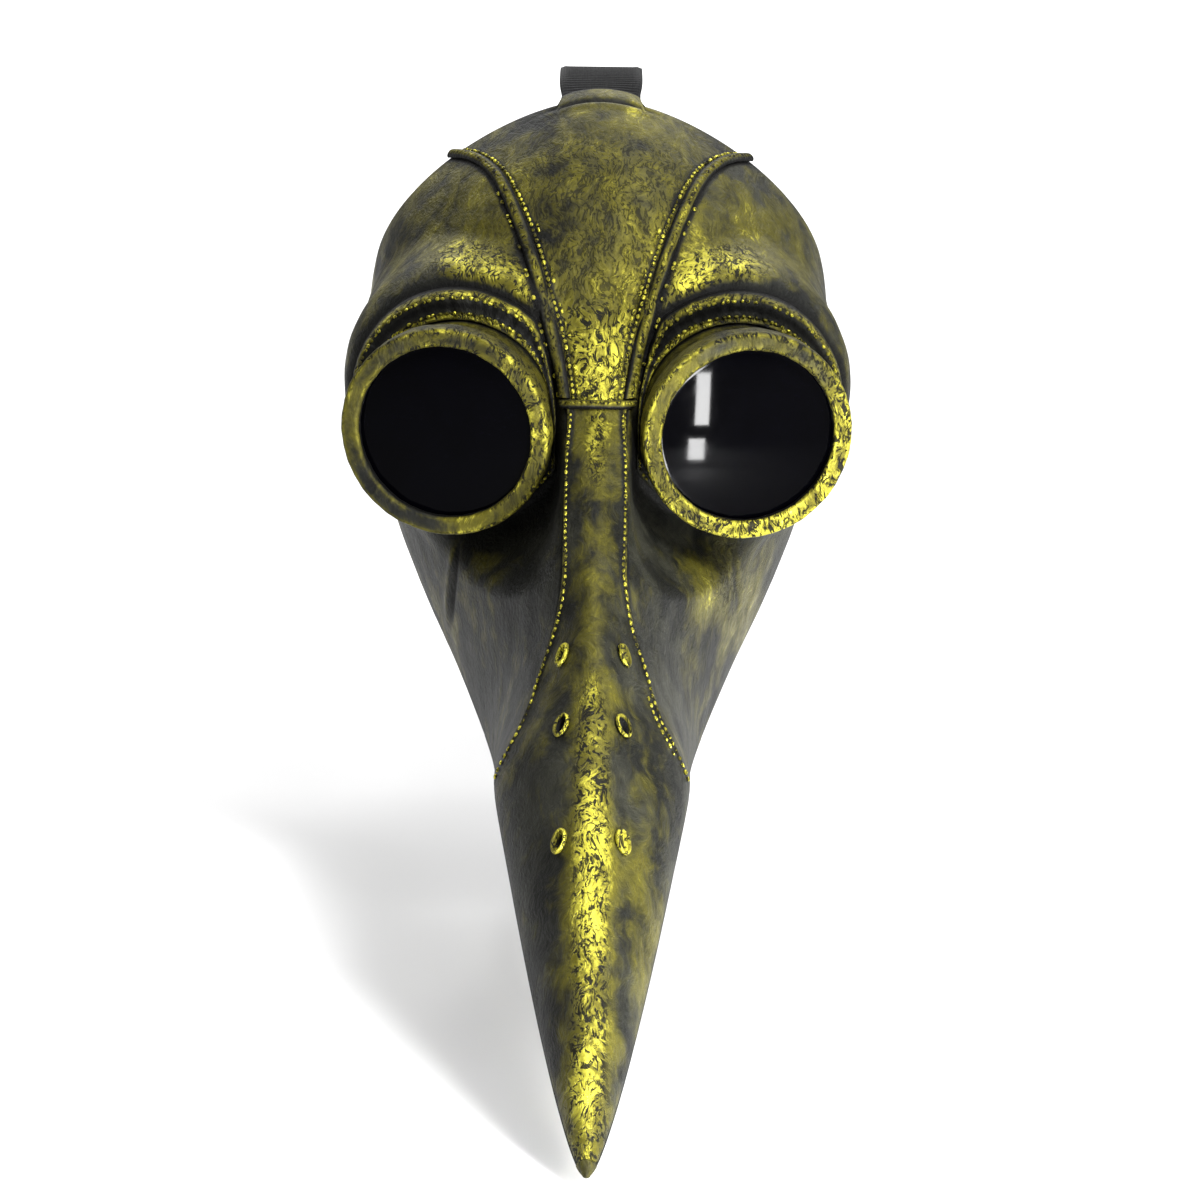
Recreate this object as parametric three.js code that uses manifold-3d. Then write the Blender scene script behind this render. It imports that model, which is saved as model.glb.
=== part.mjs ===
// Plague doctor mask: a leather-look moulded latex face piece with a long drooping beak, two goggle
// eyepieces with dark lenses, six breathing eyelets and a three-way elastic head harness.
//
// Millimetres, +Z up. The origin is the centre of the wearer's head, the mask faces -Y, and left and right
// are the wearer's, so +X is the left side.
//
// The skin is one lofted surface. A station runs across the face from the midline (the ridge) to the flank
// line, which is the open rear edge on the face and the widest line on the beak. The stations turn down the
// forehead, over the nose bridge and out to the beak tip. Every panel, collar, welt and eyelet is laid on
// that surface, so it follows when a driving dimension changes.

import * as THREE from "three";
import { mergeVertices } from "three/addons/utils/BufferGeometryUtils.js";
import Module from "manifold-3d";

const wasm = await Module();
wasm.setup();

// ---- driving dimensions ----
const GAP = 0.3; // clearance between pieces that touch
const FLANK_GAP = 0.35; // each side of the seam between the beak's upper and lower halves
const SHELL = 3.0; // latex panel thickness
const WALL_SHARE = 0.42; // the wall is at most this share of the beak's half width

const FACE_HALF_WIDTH = 81; // outside of the skin at the temples
const FACE_RISE = 110; // top edge above the head's centre
const FACE_DEPTH = 106; // nose bridge in front of the head's centre

const BEAK_LENGTH = 264; // nose bridge to tip
const BEAK_DROOP = THREE.MathUtils.degToRad(39.3); // below horizontal
const BEAK_ARCH = 7; // rise of the ridge above its chord
const BEAK_HALF_WIDTH = 29.2; // where the beak leaves the cheeks
const BEAK_TIP_HALF_WIDTH = 1.1;
const BEAK_TAPER = 0.78; // exponent of the narrowing towards the tip

const SEAM_TOP = 49; // forehead seam from the midline at the top edge
const SEAM_BRIDGE = 9.8; // the same seam at the nose bridge
const WELT_HALF_WIDTH = 1.7; // piping over the forehead seams
const WELT_HEIGHT = 1.7;
const WELT_SEAT = 0.45; // piping above the skin
const WELT_SIDES = 0.3; // share of the piping's height that its sides stand up
const CROSS_WELT_HALF = 1.7;
const TAB_HALF_WIDTH = 14; // tongue that covers the end of the top strap
const TAB_LENGTH = 8;
const TAB_FADE = 0.5; // stations over which the panel stretches into the tongue
const SEAM_DRIFT = 0.52; // share of the way to the flank line that the seam drifts slowly down the beak
const SEAM_DRIFT_CURVE = 1.6;
const SEAM_FLARE_CURVE = 18; // how late the rest of the way is made

const EYE_OUTWARD = THREE.MathUtils.degToRad(11);
const EYE_DOWNWARD = THREE.MathUtils.degToRad(4);
const LENS_RADIUS = 30.2;
const EYE_HALF_SPACING = LENS_RADIUS + 12.8; // eyepiece centre from the midline, on the skin
const LENS_THICKNESS = 1.8;
const LENS_DOME = 1.6; // rise of the lens's middle
const SEAT_MARGIN = 6; // flat skin round the tube
const SEAT_BLEND = 17; // over which the seat runs out into the skin
const CUP_LENGTH = 19.5; // eyepiece tube in front of the skin
const CUP_WALL = 2.3;
const CUP_INSIDE = 1.5; // tube behind the skin
const RIM_LIP = 2.5; // how far the rim reaches in over the lens
const RIM_WALL = 2.7;
const RIM_FRONT = 2.8; // thickness of the rim in front of the lens
const RIM_SKIRT = 5.5; // how far the rim comes back over the tube
const GASKET_THICKNESS = 1.0;
const COLLAR_WIDTH = 6.6; // stitched collar round the tube
const COLLAR_THICKNESS = 2.2;
const COLLAR_LIFT = 3.4; // the collar's outline sits higher than the tube
const COLLAR_FRONT = 12; // the collar stops here where it climbs the side of the nose

const VENT_OFFSET = 8.7; // eyelet centres from the ridge
const VENT_SHARES = [0.375, 0.475, 0.62]; // places along the beak
const VENT_HALF_WIDTH = 1.0; // hole in the eyelet
const VENT_HALF_LENGTH = 2.3;
const VENT_BARREL = 0.7; // wall of the eyelet's barrel
const VENT_FLANGE = 1.1; // flange outside the barrel
const VENT_RISE = 1.1;
const VENT_SEAT = 0.5; // flange above the curved skin
const VENT_INSIDE = 0.8; // barrel behind the skin
const VENT_SEGMENTS = 14;

const STRAP_WIDTH = 28;
const STRAP_THICKNESS = 1.8;
const STRAP_OVERLAP = 22; // strap end bonded inside the skin
const SIDE_STRAP_HEIGHT = 5; // middle of the side straps above the head's centre
const SIDE_STRAIGHT = 60; // straight run of a side strap behind the skin
const HEAD_BACK = 96; // strap behind the head's centre
const HEAD_TOP = 115; // top strap above the head's centre
const HEAD_CROWN = 8; // highest place of the top strap, behind the head's centre
const TOP_STRAIGHT = 52; // straight run of the top strap, halfway down the back of the head
const STRAP_MEETING = 0.6; // between strap ends under the back patch
const PATCH_THICKNESS = 1.5;
const PATCH_REACH = 22; // patch over each strap's end
const PATCH_MARGIN = 3; // patch beyond a strap's edges
const TUBE_CLEARANCE = 1; // least distance of the strap's bonded end from the eyepiece tube
const ANCHOR_MARGIN = 4; // bonded patch beyond the strap inside the skin
const BOND = 0.7; // between the skin, the strap and the patch, filled by cement
const STRAP_SETTLE = 17; // run over which a strap flattens after it leaves the skin

const SLIDER_BAR = 3.4; // bars across the strap
const SLIDER_RAIL = 3.2; // rails along its edges
const SLIDER_LENGTH = 21;
const SLIDER_THICKNESS = 1.6;
const SLIDER_PLAY = 0.35; // between the slider and the strap
const SLIDER_ROUND = 2.5;
const SLIDER_CORNER = 0.6;
const SLIDER_TRAVEL = 11; // either way from rest

// ---- small helpers ----
const { lerp, clamp, smoothstep } = THREE.MathUtils;
const vec = (x, y, z) => new THREE.Vector3(x, y, z);

// Uniform Catmull-Rom through a list of values, read at a real index.
function smooth(values) {
  const last = values.length - 1;
  const at = (i) => values[clamp(i, 0, last)];
  return (t) => {
    const i = clamp(Math.floor(t), 0, last - 1);
    const f = t - i;
    const [a, b, c, d] = [at(i - 1), at(i), at(i + 1), at(i + 2)];
    return b + 0.5 * f * (c - a + f * (2 * a - 5 * b + 4 * c - d + f * (3 * (b - c) + d - a)));
  };
}

const bezier = (a, b, c, d, s) => {
  const r = 1 - s;
  return r * r * r * a + 3 * r * r * s * b + 3 * r * s * s * c + s * s * s * d;
};

// ---- the skin ----
// Face stations: the ridge's forward and up places as shares of FACE_DEPTH and FACE_RISE (or the share of
// the beak's length, once on the beak), the flank line's places and half width as shares of the face, and
// the section's fullness at the ridge and at the cheek.
const FACE_STATIONS = [
  { ridge: [0.12, 1.05], flank: [-0.1, 0.45], width: 0.94, crown: 0.38, cheek: 0.44 },
  { ridge: [0.34, 1.0], flank: [0.04, 0.42], width: 0.95, crown: 0.38, cheek: 0.46 },
  { ridge: [0.6, 0.84], flank: [0.03, 0.36], width: 0.965, crown: 0.46, cheek: 0.54 },
  { ridge: [0.8, 0.585], flank: [0.01, 0.26], width: 0.98, crown: 0.54, cheek: 0.6 },
  { ridge: [0.91, 0.37], flank: [-0.01, 0.13], width: 0.98, crown: 0.52, cheek: 0.62 },
  { along: 0.0, flank: [-0.01, 0.0], width: 0.97, crown: 0.46, cheek: 0.6 },
  { along: 0.085, flank: [0.0, -0.165], width: 0.94, crown: 0.36, cheek: 0.54 },
  { along: 0.16, flank: [0.09, -0.37], width: 0.855, crown: 0.36, cheek: 0.46 },
  { along: 0.22, flank: [0.25, -0.57], width: 0.725, crown: 0.36, cheek: 0.42 },
  { along: 0.27, flank: [0.47, -0.735], width: 0.58, crown: 0.38, cheek: 0.42 },
];
const CHIN_STATION = FACE_STATIONS.length; // the first closed section
const BRIDGE_STATION = 5;
const EDGE_STATION = 1; // top edge of the mask
const COLLAR_START = 3; // stations that the eye collars lie between
const COLLAR_END = 8;
const CHIN = { along: 0.32, flank: [0.755, -0.875], width: 0.45, crown: 0.36, cheek: 0.46, keel: 11 };
const JAW = { along: 0.39, flank: [1.18, -0.86], width: 0.385, crown: 0.45, cheek: 0.5, keel: 19 };
const BEAK_ROOT = 0.48; // share of the length where the beak has left the cheeks
const BEAK_SHARES = [BEAK_ROOT, 0.6, 0.71, 0.81, 0.89, 0.95, 0.985, 1.0];
const BEAK_RIDGE_HEIGHT = 1.25; // ridge above the widest line, in half widths
const BEAK_KEEL_DEPTH = 1.0; // keel below the widest line, in half widths
const BEAK_FULLNESS = 0.5;

const bridge = { forward: FACE_DEPTH, up: 0.19 * FACE_RISE };
const beakDirection = { forward: Math.cos(BEAK_DROOP), up: -Math.sin(BEAK_DROOP) };

// A point of the beak's ridge, at a share of its length.
function ridgeAt(share) {
  const arch = BEAK_ARCH * Math.sin(Math.PI * share);
  return {
    forward: bridge.forward + share * BEAK_LENGTH * beakDirection.forward - arch * beakDirection.up,
    up: bridge.up + share * BEAK_LENGTH * beakDirection.up + arch * beakDirection.forward,
  };
}

function faceStation(row) {
  const ridge =
    row.along === undefined
      ? { forward: row.ridge[0] * FACE_DEPTH, up: row.ridge[1] * FACE_RISE }
      : ridgeAt(row.along);
  const flank = { forward: row.flank[0] * FACE_DEPTH, up: row.flank[1] * FACE_RISE };
  const half = row.width * FACE_HALF_WIDTH;
  return { ...row, ridge, flank, half, keel: row.keel ?? CHIN.keel, share: row.along ?? -1 };
}

// On the beak the widest line lies square below the ridge, so a section is a true cross cut.
function beakStation(share) {
  const taper = ((1 - share) / (1 - BEAK_ROOT)) ** BEAK_TAPER;
  const half = lerp(BEAK_TIP_HALF_WIDTH, BEAK_HALF_WIDTH, taper);
  const ridge = ridgeAt(share);
  const drop = BEAK_RIDGE_HEIGHT * half;
  const flank = {
    forward: ridge.forward + drop * beakDirection.up,
    up: ridge.up - drop * beakDirection.forward,
  };
  const keel = BEAK_KEEL_DEPTH * half;
  return { ridge, flank, half, crown: BEAK_FULLNESS, cheek: BEAK_FULLNESS, keel, share };
}

const stations = [
  ...FACE_STATIONS.map(faceStation),
  faceStation(CHIN),
  faceStation(JAW),
  ...BEAK_SHARES.map(beakStation),
];
const TIP_STATION = stations.length - 1;
const TIP_CUT = TIP_STATION - 1; // the beak's panels end here, on the solid tip
const SEAM_END = CHIN_STATION + 2; // the seam meets the flank line here
const SIDE_END = SEAM_END - 0.1; // the side panel's point is blunted before the seam meets the flank line
const FINE_STEP = 1 / 3;
const COARSE_STEP = 1 / 2;
const ROUND_SEGMENTS = 32;
const OUTLINE_SEGMENTS = 3; // in each curve of a flat outline
const station = {
  ridgeForward: smooth(stations.map((s) => s.ridge.forward)),
  ridgeUp: smooth(stations.map((s) => s.ridge.up)),
  flankForward: smooth(stations.map((s) => s.flank.forward)),
  flankUp: smooth(stations.map((s) => s.flank.up)),
  half: smooth(stations.map((s) => s.half)),
  crown: smooth(stations.map((s) => s.crown)),
  cheek: smooth(stations.map((s) => s.cheek)),
  keel: smooth(stations.map((s) => s.keel)),
};

// The nose strip stands proud of the section from the brow down, and fades out at the tip.
const RIDGE_RISE = 2.6;
const RIDGE_SPREAD = 8.5;
const ridgeRise = (t) =>
  RIDGE_RISE * smoothstep(t, 3.6, BRIDGE_STATION) * (1 - smoothstep(t, TIP_STATION - 4, TIP_STATION));

// The lofted surface: t counts stations, u runs 0 at the ridge, 1 at the flank line, 2 at the keel, and is
// negative on the right, where 3 is the flank line again.
function loft(t, acrossPlace) {
  const u = acrossPlace > 2 ? acrossPlace - 4 : acrossPlace;
  const v = Math.abs(u);
  const half = station.half(t);
  const ahead = station.ridgeForward(t) - station.flankForward(t);
  const above = station.ridgeUp(t) - station.flankUp(t);
  const height = Math.hypot(ahead, above);
  let x;
  let rise;
  if (v <= 1) {
    x = bezier(0, station.crown(t) * half, half, half, v);
    rise = bezier(height, height, station.cheek(t) * height, 0, v);
    rise += ridgeRise(t) * Math.exp(-((x / RIDGE_SPREAD) ** 2));
  } else {
    const keel = station.keel(t);
    x = bezier(half, half, BEAK_FULLNESS * half, 0, v - 1);
    rise = -bezier(0, BEAK_FULLNESS * keel, keel, keel, v - 1);
  }
  return vec(
    Math.sign(u) * x,
    -(station.flankForward(t) + (rise * ahead) / height),
    station.flankUp(t) + (rise * above) / height,
  );
}

// The u at which station t reaches a distance x from the midline.
function acrossTo(t, x) {
  let [low, high] = [0, 1];
  for (let i = 0; i < 30; i++) {
    const middle = (low + high) / 2;
    if (loft(t, middle).x < x) low = middle;
    else high = middle;
  }
  return (low + high) / 2;
}

// The eyepiece's axis leaves the skin here, and the skin is flattened into a seat round it.
const EYE_STATION = 5.15;
const eyeAxis = vec(
  Math.sin(EYE_OUTWARD) * Math.cos(EYE_DOWNWARD),
  -Math.cos(EYE_OUTWARD) * Math.cos(EYE_DOWNWARD),
  -Math.sin(EYE_DOWNWARD),
);
const eyeSeat = loft(EYE_STATION, acrossTo(EYE_STATION, EYE_HALF_SPACING));
const CUP_RADIUS = LENS_RADIUS + GAP; // outside of the eyepiece tube
const SEAT_RADIUS = CUP_RADIUS + SEAT_MARGIN;

function skin(t, u) {
  const p = loft(t, u);
  const side = Math.sign(p.x) || 1;
  const q = vec(Math.abs(p.x), p.y, p.z).sub(eyeSeat);
  const above = q.dot(eyeAxis);
  const radius = q.addScaledVector(eyeAxis, -above).length();
  const near = 1 - smoothstep(radius, SEAT_RADIUS, SEAT_RADIUS + SEAT_BLEND);
  const pull = -above * near * smoothstep(Math.abs(p.x), SEAM_BRIDGE - 2, SEAM_BRIDGE + 12);
  return p.addScaledVector(vec(side * eyeAxis.x, eyeAxis.y, eyeAxis.z), pull);
}

function skinNormal(t, u) {
  const step = 1e-3;
  const along = skin(t + step, u).sub(skin(t - step, u));
  const across = skin(t, u + step).sub(skin(t, u - step));
  return along.cross(across).normalize();
}

const offsetSkin = (t, u, offset) => skin(t, u).addScaledVector(skinNormal(t, u), offset);

// ---- solids ----
// A closed mesh from a grid of outer points and a grid of inner points of the same size.
function gridGeometry(outer, inner) {
  const rows = outer.length;
  const columns = outer[0].length;
  const triangles = [];
  const quad = (a, b, c, d) => triangles.push(a, b, c, a, c, d);
  for (let i = 0; i < rows - 1; i++)
    for (let j = 0; j < columns - 1; j++) {
      quad(outer[i][j], outer[i + 1][j], outer[i + 1][j + 1], outer[i][j + 1]);
      quad(inner[i][j], inner[i][j + 1], inner[i + 1][j + 1], inner[i + 1][j]);
    }
  for (let i = 0; i < rows - 1; i++) {
    const j = columns - 1;
    quad(outer[i][0], inner[i][0], inner[i + 1][0], outer[i + 1][0]);
    quad(outer[i][j], outer[i + 1][j], inner[i + 1][j], inner[i][j]);
  }
  for (let j = 0; j < columns - 1; j++) {
    const i = rows - 1;
    quad(outer[0][j], outer[0][j + 1], inner[0][j + 1], inner[0][j]);
    quad(outer[i][j], inner[i][j], inner[i][j + 1], outer[i][j + 1]);
  }
  const geometry = new THREE.BufferGeometry().setFromPoints(triangles);
  geometry.deleteAttribute("uv");
  return geometry;
}

function toManifold(geometry) {
  const plain = geometry.index ? geometry.toNonIndexed() : geometry.clone();
  const bare = new THREE.BufferGeometry().setAttribute("position", plain.getAttribute("position"));
  const merged = mergeVertices(bare, 1e-4);
  const mesh = new wasm.Mesh({
    numProp: 3,
    vertProperties: merged.attributes.position.array,
    triVerts: new Uint32Array(merged.index.array),
  });
  const solid = new wasm.Manifold(mesh);
  if (solid.volume() >= 0) return solid;
  for (let i = 0; i < mesh.triVerts.length; i += 3)
    [mesh.triVerts[i + 1], mesh.triVerts[i + 2]] = [mesh.triVerts[i + 2], mesh.triVerts[i + 1]];
  return new wasm.Manifold(mesh);
}

function toGeometry(solid) {
  const mesh = solid.getMesh();
  const points = new Float32Array(mesh.numVert * 3);
  for (let i = 0; i < mesh.numVert; i++) {
    points.set(mesh.vertProperties.subarray(i * mesh.numProp, i * mesh.numProp + 3), i * 3);
  }
  const geometry = new THREE.BufferGeometry();
  geometry.setAttribute("position", new THREE.BufferAttribute(points, 3));
  geometry.setIndex(new THREE.BufferAttribute(mesh.triVerts, 1));
  geometry.computeVertexNormals();
  return geometry;
}

// Values from start to end, with the whole multiples of a step between them.
function steps(start, end, step) {
  const inner = [];
  for (let k = Math.ceil(start / step + 0.2); k * step < end - 0.2 * step; k++) inner.push(k * step);
  return [start, ...inner, end];
}

// Stations where every panel has a row, so that neighbours meet vertex to vertex along a seam.
function rowsBetween(start, end) {
  if (end <= SIDE_END) return steps(start, end, FINE_STEP);
  return [...steps(start, SIDE_END, FINE_STEP), ...steps(SEAM_END, end, COARSE_STEP)];
}

// A slab of the skin between two offsets, which are functions of t and the share v across it. place(t, v)
// gives the [t, u] of a corner.
function slab(rows, columns, place, inside, outside) {
  const corner = (t, v, offset) => offsetSkin(...place(t, v), offset(t, v));
  const layer = (offset) =>
    rows.map((t) => Array.from({ length: columns + 1 }, (_, j) => corner(t, j / columns, offset)));
  return toManifold(gridGeometry(layer(outside), layer(inside)));
}

// A closed lathe round +Z from a profile of [radius, height] pairs, placed by a matrix.
function turned(profile, matrix) {
  const points = profile.map(([r, z]) => new THREE.Vector2(r, z));
  if (profile[0][0] > 0) points.push(points[0].clone());
  const geometry = new THREE.LatheGeometry(points, ROUND_SEGMENTS);
  geometry.rotateX(Math.PI / 2);
  return toManifold(geometry.applyMatrix4(matrix));
}

// A frame whose +Z is the given direction, at the given point, with +Y as near to up as it goes.
function frameAt(point, direction, up = vec(0, 0, 1)) {
  const z = direction.clone().normalize();
  const x = up.clone().cross(z).normalize();
  return new THREE.Matrix4().makeBasis(x, z.clone().cross(x), z).setPosition(point);
}

// A plate of a flat outline, extruded along its frame's +Z from back to front.
function plate(shape, back, front, matrix) {
  const settings = { depth: front - back, bevelEnabled: false, curveSegments: OUTLINE_SEGMENTS };
  const geometry = new THREE.ExtrudeGeometry(shape, settings);
  return toManifold(geometry.translate(0, 0, back).applyMatrix4(matrix));
}

function addRoundedRectangle(path, width, height, radius, x = 0, y = 0) {
  const [w, h] = [width / 2, height / 2];
  path.moveTo(x + w - radius, y - h);
  path.absarc(x + w - radius, y - h + radius, radius, -Math.PI / 2, 0);
  path.absarc(x + w - radius, y + h - radius, radius, 0, Math.PI / 2);
  path.absarc(x - w + radius, y + h - radius, radius, Math.PI / 2, Math.PI);
  path.absarc(x - w + radius, y - h + radius, radius, Math.PI, Math.PI * 1.5);
  path.closePath();
  return path;
}

// ---- the model ----
const model = new THREE.Group();
model.name = "plague_doctor_mask";

const MATERIALS = {
  latex: { color: 0x4a4a33, roughness: 0.5, metalness: 0.35 },
  gilt: { color: 0x8a8420, roughness: 0.38, metalness: 0.7 },
  lens: { color: 0x07080b, roughness: 0.05, metalness: 0 },
  gasket: { color: 0x111112, roughness: 0.8, metalness: 0 },
  elastic: { color: 0x121214, roughness: 0.9, metalness: 0 },
  buckle: { color: 0x0c0c0e, roughness: 0.35, metalness: 0 },
};

function add(name, solid, material) {
  const mesh = new THREE.Mesh(toGeometry(solid), new THREE.MeshStandardMaterial(MATERIALS[material]));
  mesh.name = name;
  model.add(mesh);
}

// Adds a piece of the wearer's left and its mirror image on the right.
function addPair(name, solid, material) {
  add(`${name}_left`, solid, material);
  add(`${name}_right`, mirrored(solid), material);
}

const moved = (solid, matrix) => toManifold(toGeometry(solid).applyMatrix4(matrix));
const mirrored = (solid) => moved(solid, new THREE.Matrix4().makeScale(-1, 1, 1));

// ---- seams ----
// Distance of the seam from the midline at the first stations: it sweeps in down the forehead and runs
// beside the nose strip. From there it flares out to the flank line under the chin.
const besideNose = Array(4).fill(SEAM_BRIDGE);
const seamOut = smooth([SEAM_TOP + 8, SEAM_TOP, 33, 21, 14, ...besideNose]);
const SEAM_FLARE = 8.6; // station where the flare starts
function seamAcross(t) {
  if (t <= SEAM_FLARE) return acrossTo(t, seamOut(t));
  const start = acrossTo(SEAM_FLARE, seamOut(SEAM_FLARE));
  const share = Math.min((t - SEAM_FLARE) / (SEAM_END - SEAM_FLARE), 1);
  const drift = SEAM_DRIFT * share ** SEAM_DRIFT_CURVE;
  return lerp(start, 1, drift + (1 - SEAM_DRIFT) * share ** SEAM_FLARE_CURVE);
}

// How much u, or t, a length on the skin takes up.
const across = (t, u, length) => (length * 2e-3) / skin(t, u + 1e-3).distanceTo(skin(t, u - 1e-3));
const along = (t, u, length) => (length * 2e-3) / skin(t + 1e-3, u).distanceTo(skin(t - 1e-3, u));

// The u that lies a straight distance in from the flank line, or short of the eyepiece tube if it is nearer.
function inFromFlank(t, distance) {
  const edge = skin(t, 1);
  let [low, high] = [0, 1];
  for (let i = 0; i < 30; i++) {
    const middle = (low + high) / 2;
    const spot = skin(t, middle);
    const fromTube = spot.clone().sub(eyeSeat).cross(eyeAxis).length() - CUP_RADIUS;
    if (spot.distanceTo(edge) > distance || fromTube < TUBE_CLEARANCE) low = middle;
    else high = middle;
  }
  return low;
}

const tongueEnd = EDGE_STATION - along(EDGE_STATION, 0, TAB_LENGTH);

// ---- panels ----
const SIDE_COLUMNS = 13;
const WELT_COLUMNS = 4;
const CROSS_WELT_COLUMNS = 8;
const BESIDE_COLUMNS = 2;
const BEAK_COLUMNS = 12; // even, so that a column lies on the ridge
const wall = (t) => -Math.min(SHELL, WALL_SHARE * station.half(t));
const outerFace = () => 0;

function foreheadPanel() {
  const end = BRIDGE_STATION - along(BRIDGE_STATION, 0, GAP / 2);
  const edge = (t) => seamAcross(t) - across(t, seamAcross(t), GAP / 2);
  const place = (t, v) => {
    const u = lerp(-edge(t), edge(t), v);
    const inTab = Math.max(0, 1 - (skin(t, u).x / TAB_HALF_WIDTH) ** 4) ** 0.25;
    const near = clamp(EDGE_STATION + TAB_FADE - t, 0, TAB_FADE) / TAB_FADE;
    return [t - (EDGE_STATION - tongueEnd) * inTab * near, u];
  };
  return slab(rowsBetween(EDGE_STATION, end), BEAK_COLUMNS, place, wall, outerFace);
}

// Temple and cheek in one piece, from the forehead seam to the open rear edge.
function sidePanel() {
  const edge = (t) => seamAcross(t) + across(t, seamAcross(t), GAP / 2);
  const place = (t, v) => [t, lerp(edge(t), 1 - flankGap(t), v)];
  const rows = rowsBetween(EDGE_STATION, SIDE_END);
  return slab(rows, SIDE_COLUMNS, place, wall, outerFace).subtract(eyeHole);
}

// Where the underside starts, the upper panels stop short of the flank line.
const flankGap = (t) => (t >= CHIN_STATION ? across(t, 1, FLANK_GAP) : 0);

function beakTop() {
  const start = BRIDGE_STATION + along(BRIDGE_STATION, 0, GAP / 2);
  const place = (t, v) => {
    const edge = Math.min(seamAcross(t) - across(t, seamAcross(t), GAP / 2), 1 - flankGap(t));
    return [t, lerp(-edge, edge, v)];
  };
  return slab(rowsBetween(start, TIP_CUT), BEAK_COLUMNS, place, wall, outerFace);
}

function beakBottom() {
  const place = (t, v) => {
    const edge = 1 + flankGap(t);
    return [t, lerp(edge, 4 - edge, v)];
  };
  return slab(rowsBetween(CHIN_STATION, TIP_CUT), BEAK_COLUMNS, place, wall, outerFace);
}

// Solid nose of the beak, with a spigot that plugs the end of the hollow.
const SPIGOT_LENGTH = 0.35; // in stations
function beakTip() {
  const columns = 2 * BEAK_COLUMNS;
  const spigotStart = TIP_CUT - SPIGOT_LENGTH;
  const start = TIP_CUT + along(TIP_CUT, 0, GAP);
  const around = Array.from({ length: columns + 1 }, (_, j) => (4 * (j % columns)) / columns - 2);
  const ring = (t, offset) => around.map((u) => offsetSkin(t, u, offset));
  const spigot = wall(TIP_CUT) - 2 * GAP;
  const rings = [ring(spigotStart, spigot), ring(start, spigot), ring(start, 0), ring(TIP_STATION, 0)];
  return toManifold(closedLoft(rings));
}

// A closed mesh from rings of points, each ring's last point the same as its first.
function closedLoft(rings) {
  const corners = [];
  const fan = (ring, turn) => {
    const total = ring.slice(1).reduce((sum, p) => sum.add(p), vec(0, 0, 0));
    const middle = total.divideScalar(ring.length - 1);
    for (let j = 0; j < ring.length - 1; j++) {
      corners.push(middle, ...(turn ? [ring[j + 1], ring[j]] : [ring[j], ring[j + 1]]));
    }
  };
  for (let i = 0; i < rings.length - 1; i++)
    for (let j = 0; j < rings[i].length - 1; j++) {
      const [a, b, c, d] = [rings[i][j], rings[i + 1][j], rings[i + 1][j + 1], rings[i][j + 1]];
      corners.push(a, b, c, a, c, d);
    }
  fan(rings[0], false);
  fan(rings[rings.length - 1], true);
  return new THREE.BufferGeometry().setFromPoints(corners);
}

// A welt's height at a share of its roundness: 0 at its sides, 1 along its middle.
const weltTop = (share) => WELT_SEAT + WELT_HEIGHT * lerp(WELT_SIDES, 1, share);

// Half-round piping over the forehead seam.
function seamWelt() {
  const place = (t, v) => {
    const u = seamAcross(t);
    return [t, u + across(t, u, WELT_HALF_WIDTH) * (2 * v - 1)];
  };
  const end = BRIDGE_STATION - along(BRIDGE_STATION, 0, GAP + CROSS_WELT_HALF);
  const rows = rowsBetween(EDGE_STATION, end);
  return slab(rows, WELT_COLUMNS, place, () => WELT_SEAT, (t, v) => weltTop(Math.sin(Math.PI * v)));
}

// Short piping across the nose bridge, where the forehead panel meets the beak's top panel.
function crossWelt() {
  const half = along(BRIDGE_STATION, 0, CROSS_WELT_HALF);
  const seam = seamAcross(BRIDGE_STATION);
  const edge = seam + across(BRIDGE_STATION, seam, WELT_HALF_WIDTH);
  const rows = steps(BRIDGE_STATION - half, BRIDGE_STATION + half, half / 2);
  const place = (t, v) => [t, lerp(-edge, edge, v)];
  const round = (t) => weltTop(Math.cos(((t - BRIDGE_STATION) / half) * (Math.PI / 2)));
  return slab(rows, CROSS_WELT_COLUMNS, place, () => WELT_SEAT, round);
}

// ---- eyepieces ----
const eyeFrame = frameAt(eyeSeat, eyeAxis);
const gasketBack = CUP_LENGTH + GAP;
const lensBack = gasketBack + GASKET_THICKNESS + GAP;
const lensFront = lensBack + LENS_THICKNESS; // of the lens's flat edge
const rimBack = lensFront + GAP;
const rimFront = rimBack + RIM_FRONT;
const rimInner = LENS_RADIUS - RIM_LIP;
const skirtInner = CUP_RADIUS + GAP;
const rimOuter = skirtInner + RIM_WALL;
const cupInner = CUP_RADIUS - CUP_WALL;
const FAR = 60; // reaches past anything near an eyepiece

const washer = (inner, outer, back, front) =>
  turned([[inner, back], [outer, back], [outer, front], [inner, front]], eyeFrame);
const eyeHole = washer(0, CUP_RADIUS + GAP, -FAR, FAR);
const eyeCup = () => washer(cupInner, CUP_RADIUS, -SHELL - CUP_INSIDE, CUP_LENGTH);
const lensGasket = () => washer(cupInner, LENS_RADIUS, gasketBack, gasketBack + GASKET_THICKNESS);

const RIM_ROUND = 0.45; // share of the rim's wall that its corners take
function eyeRim() {
  const round = RIM_WALL * RIM_ROUND;
  const back = rimBack - RIM_SKIRT;
  return turned(
    [
      [skirtInner, back],
      [rimOuter - round, back],
      [rimOuter, back + round],
      [rimOuter, rimFront - round],
      [rimOuter - round, rimFront],
      [rimInner + round, rimFront],
      [rimInner, rimFront - round],
      [rimInner, rimBack],
      [skirtInner, rimBack],
    ],
    eyeFrame,
  );
}

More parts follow.
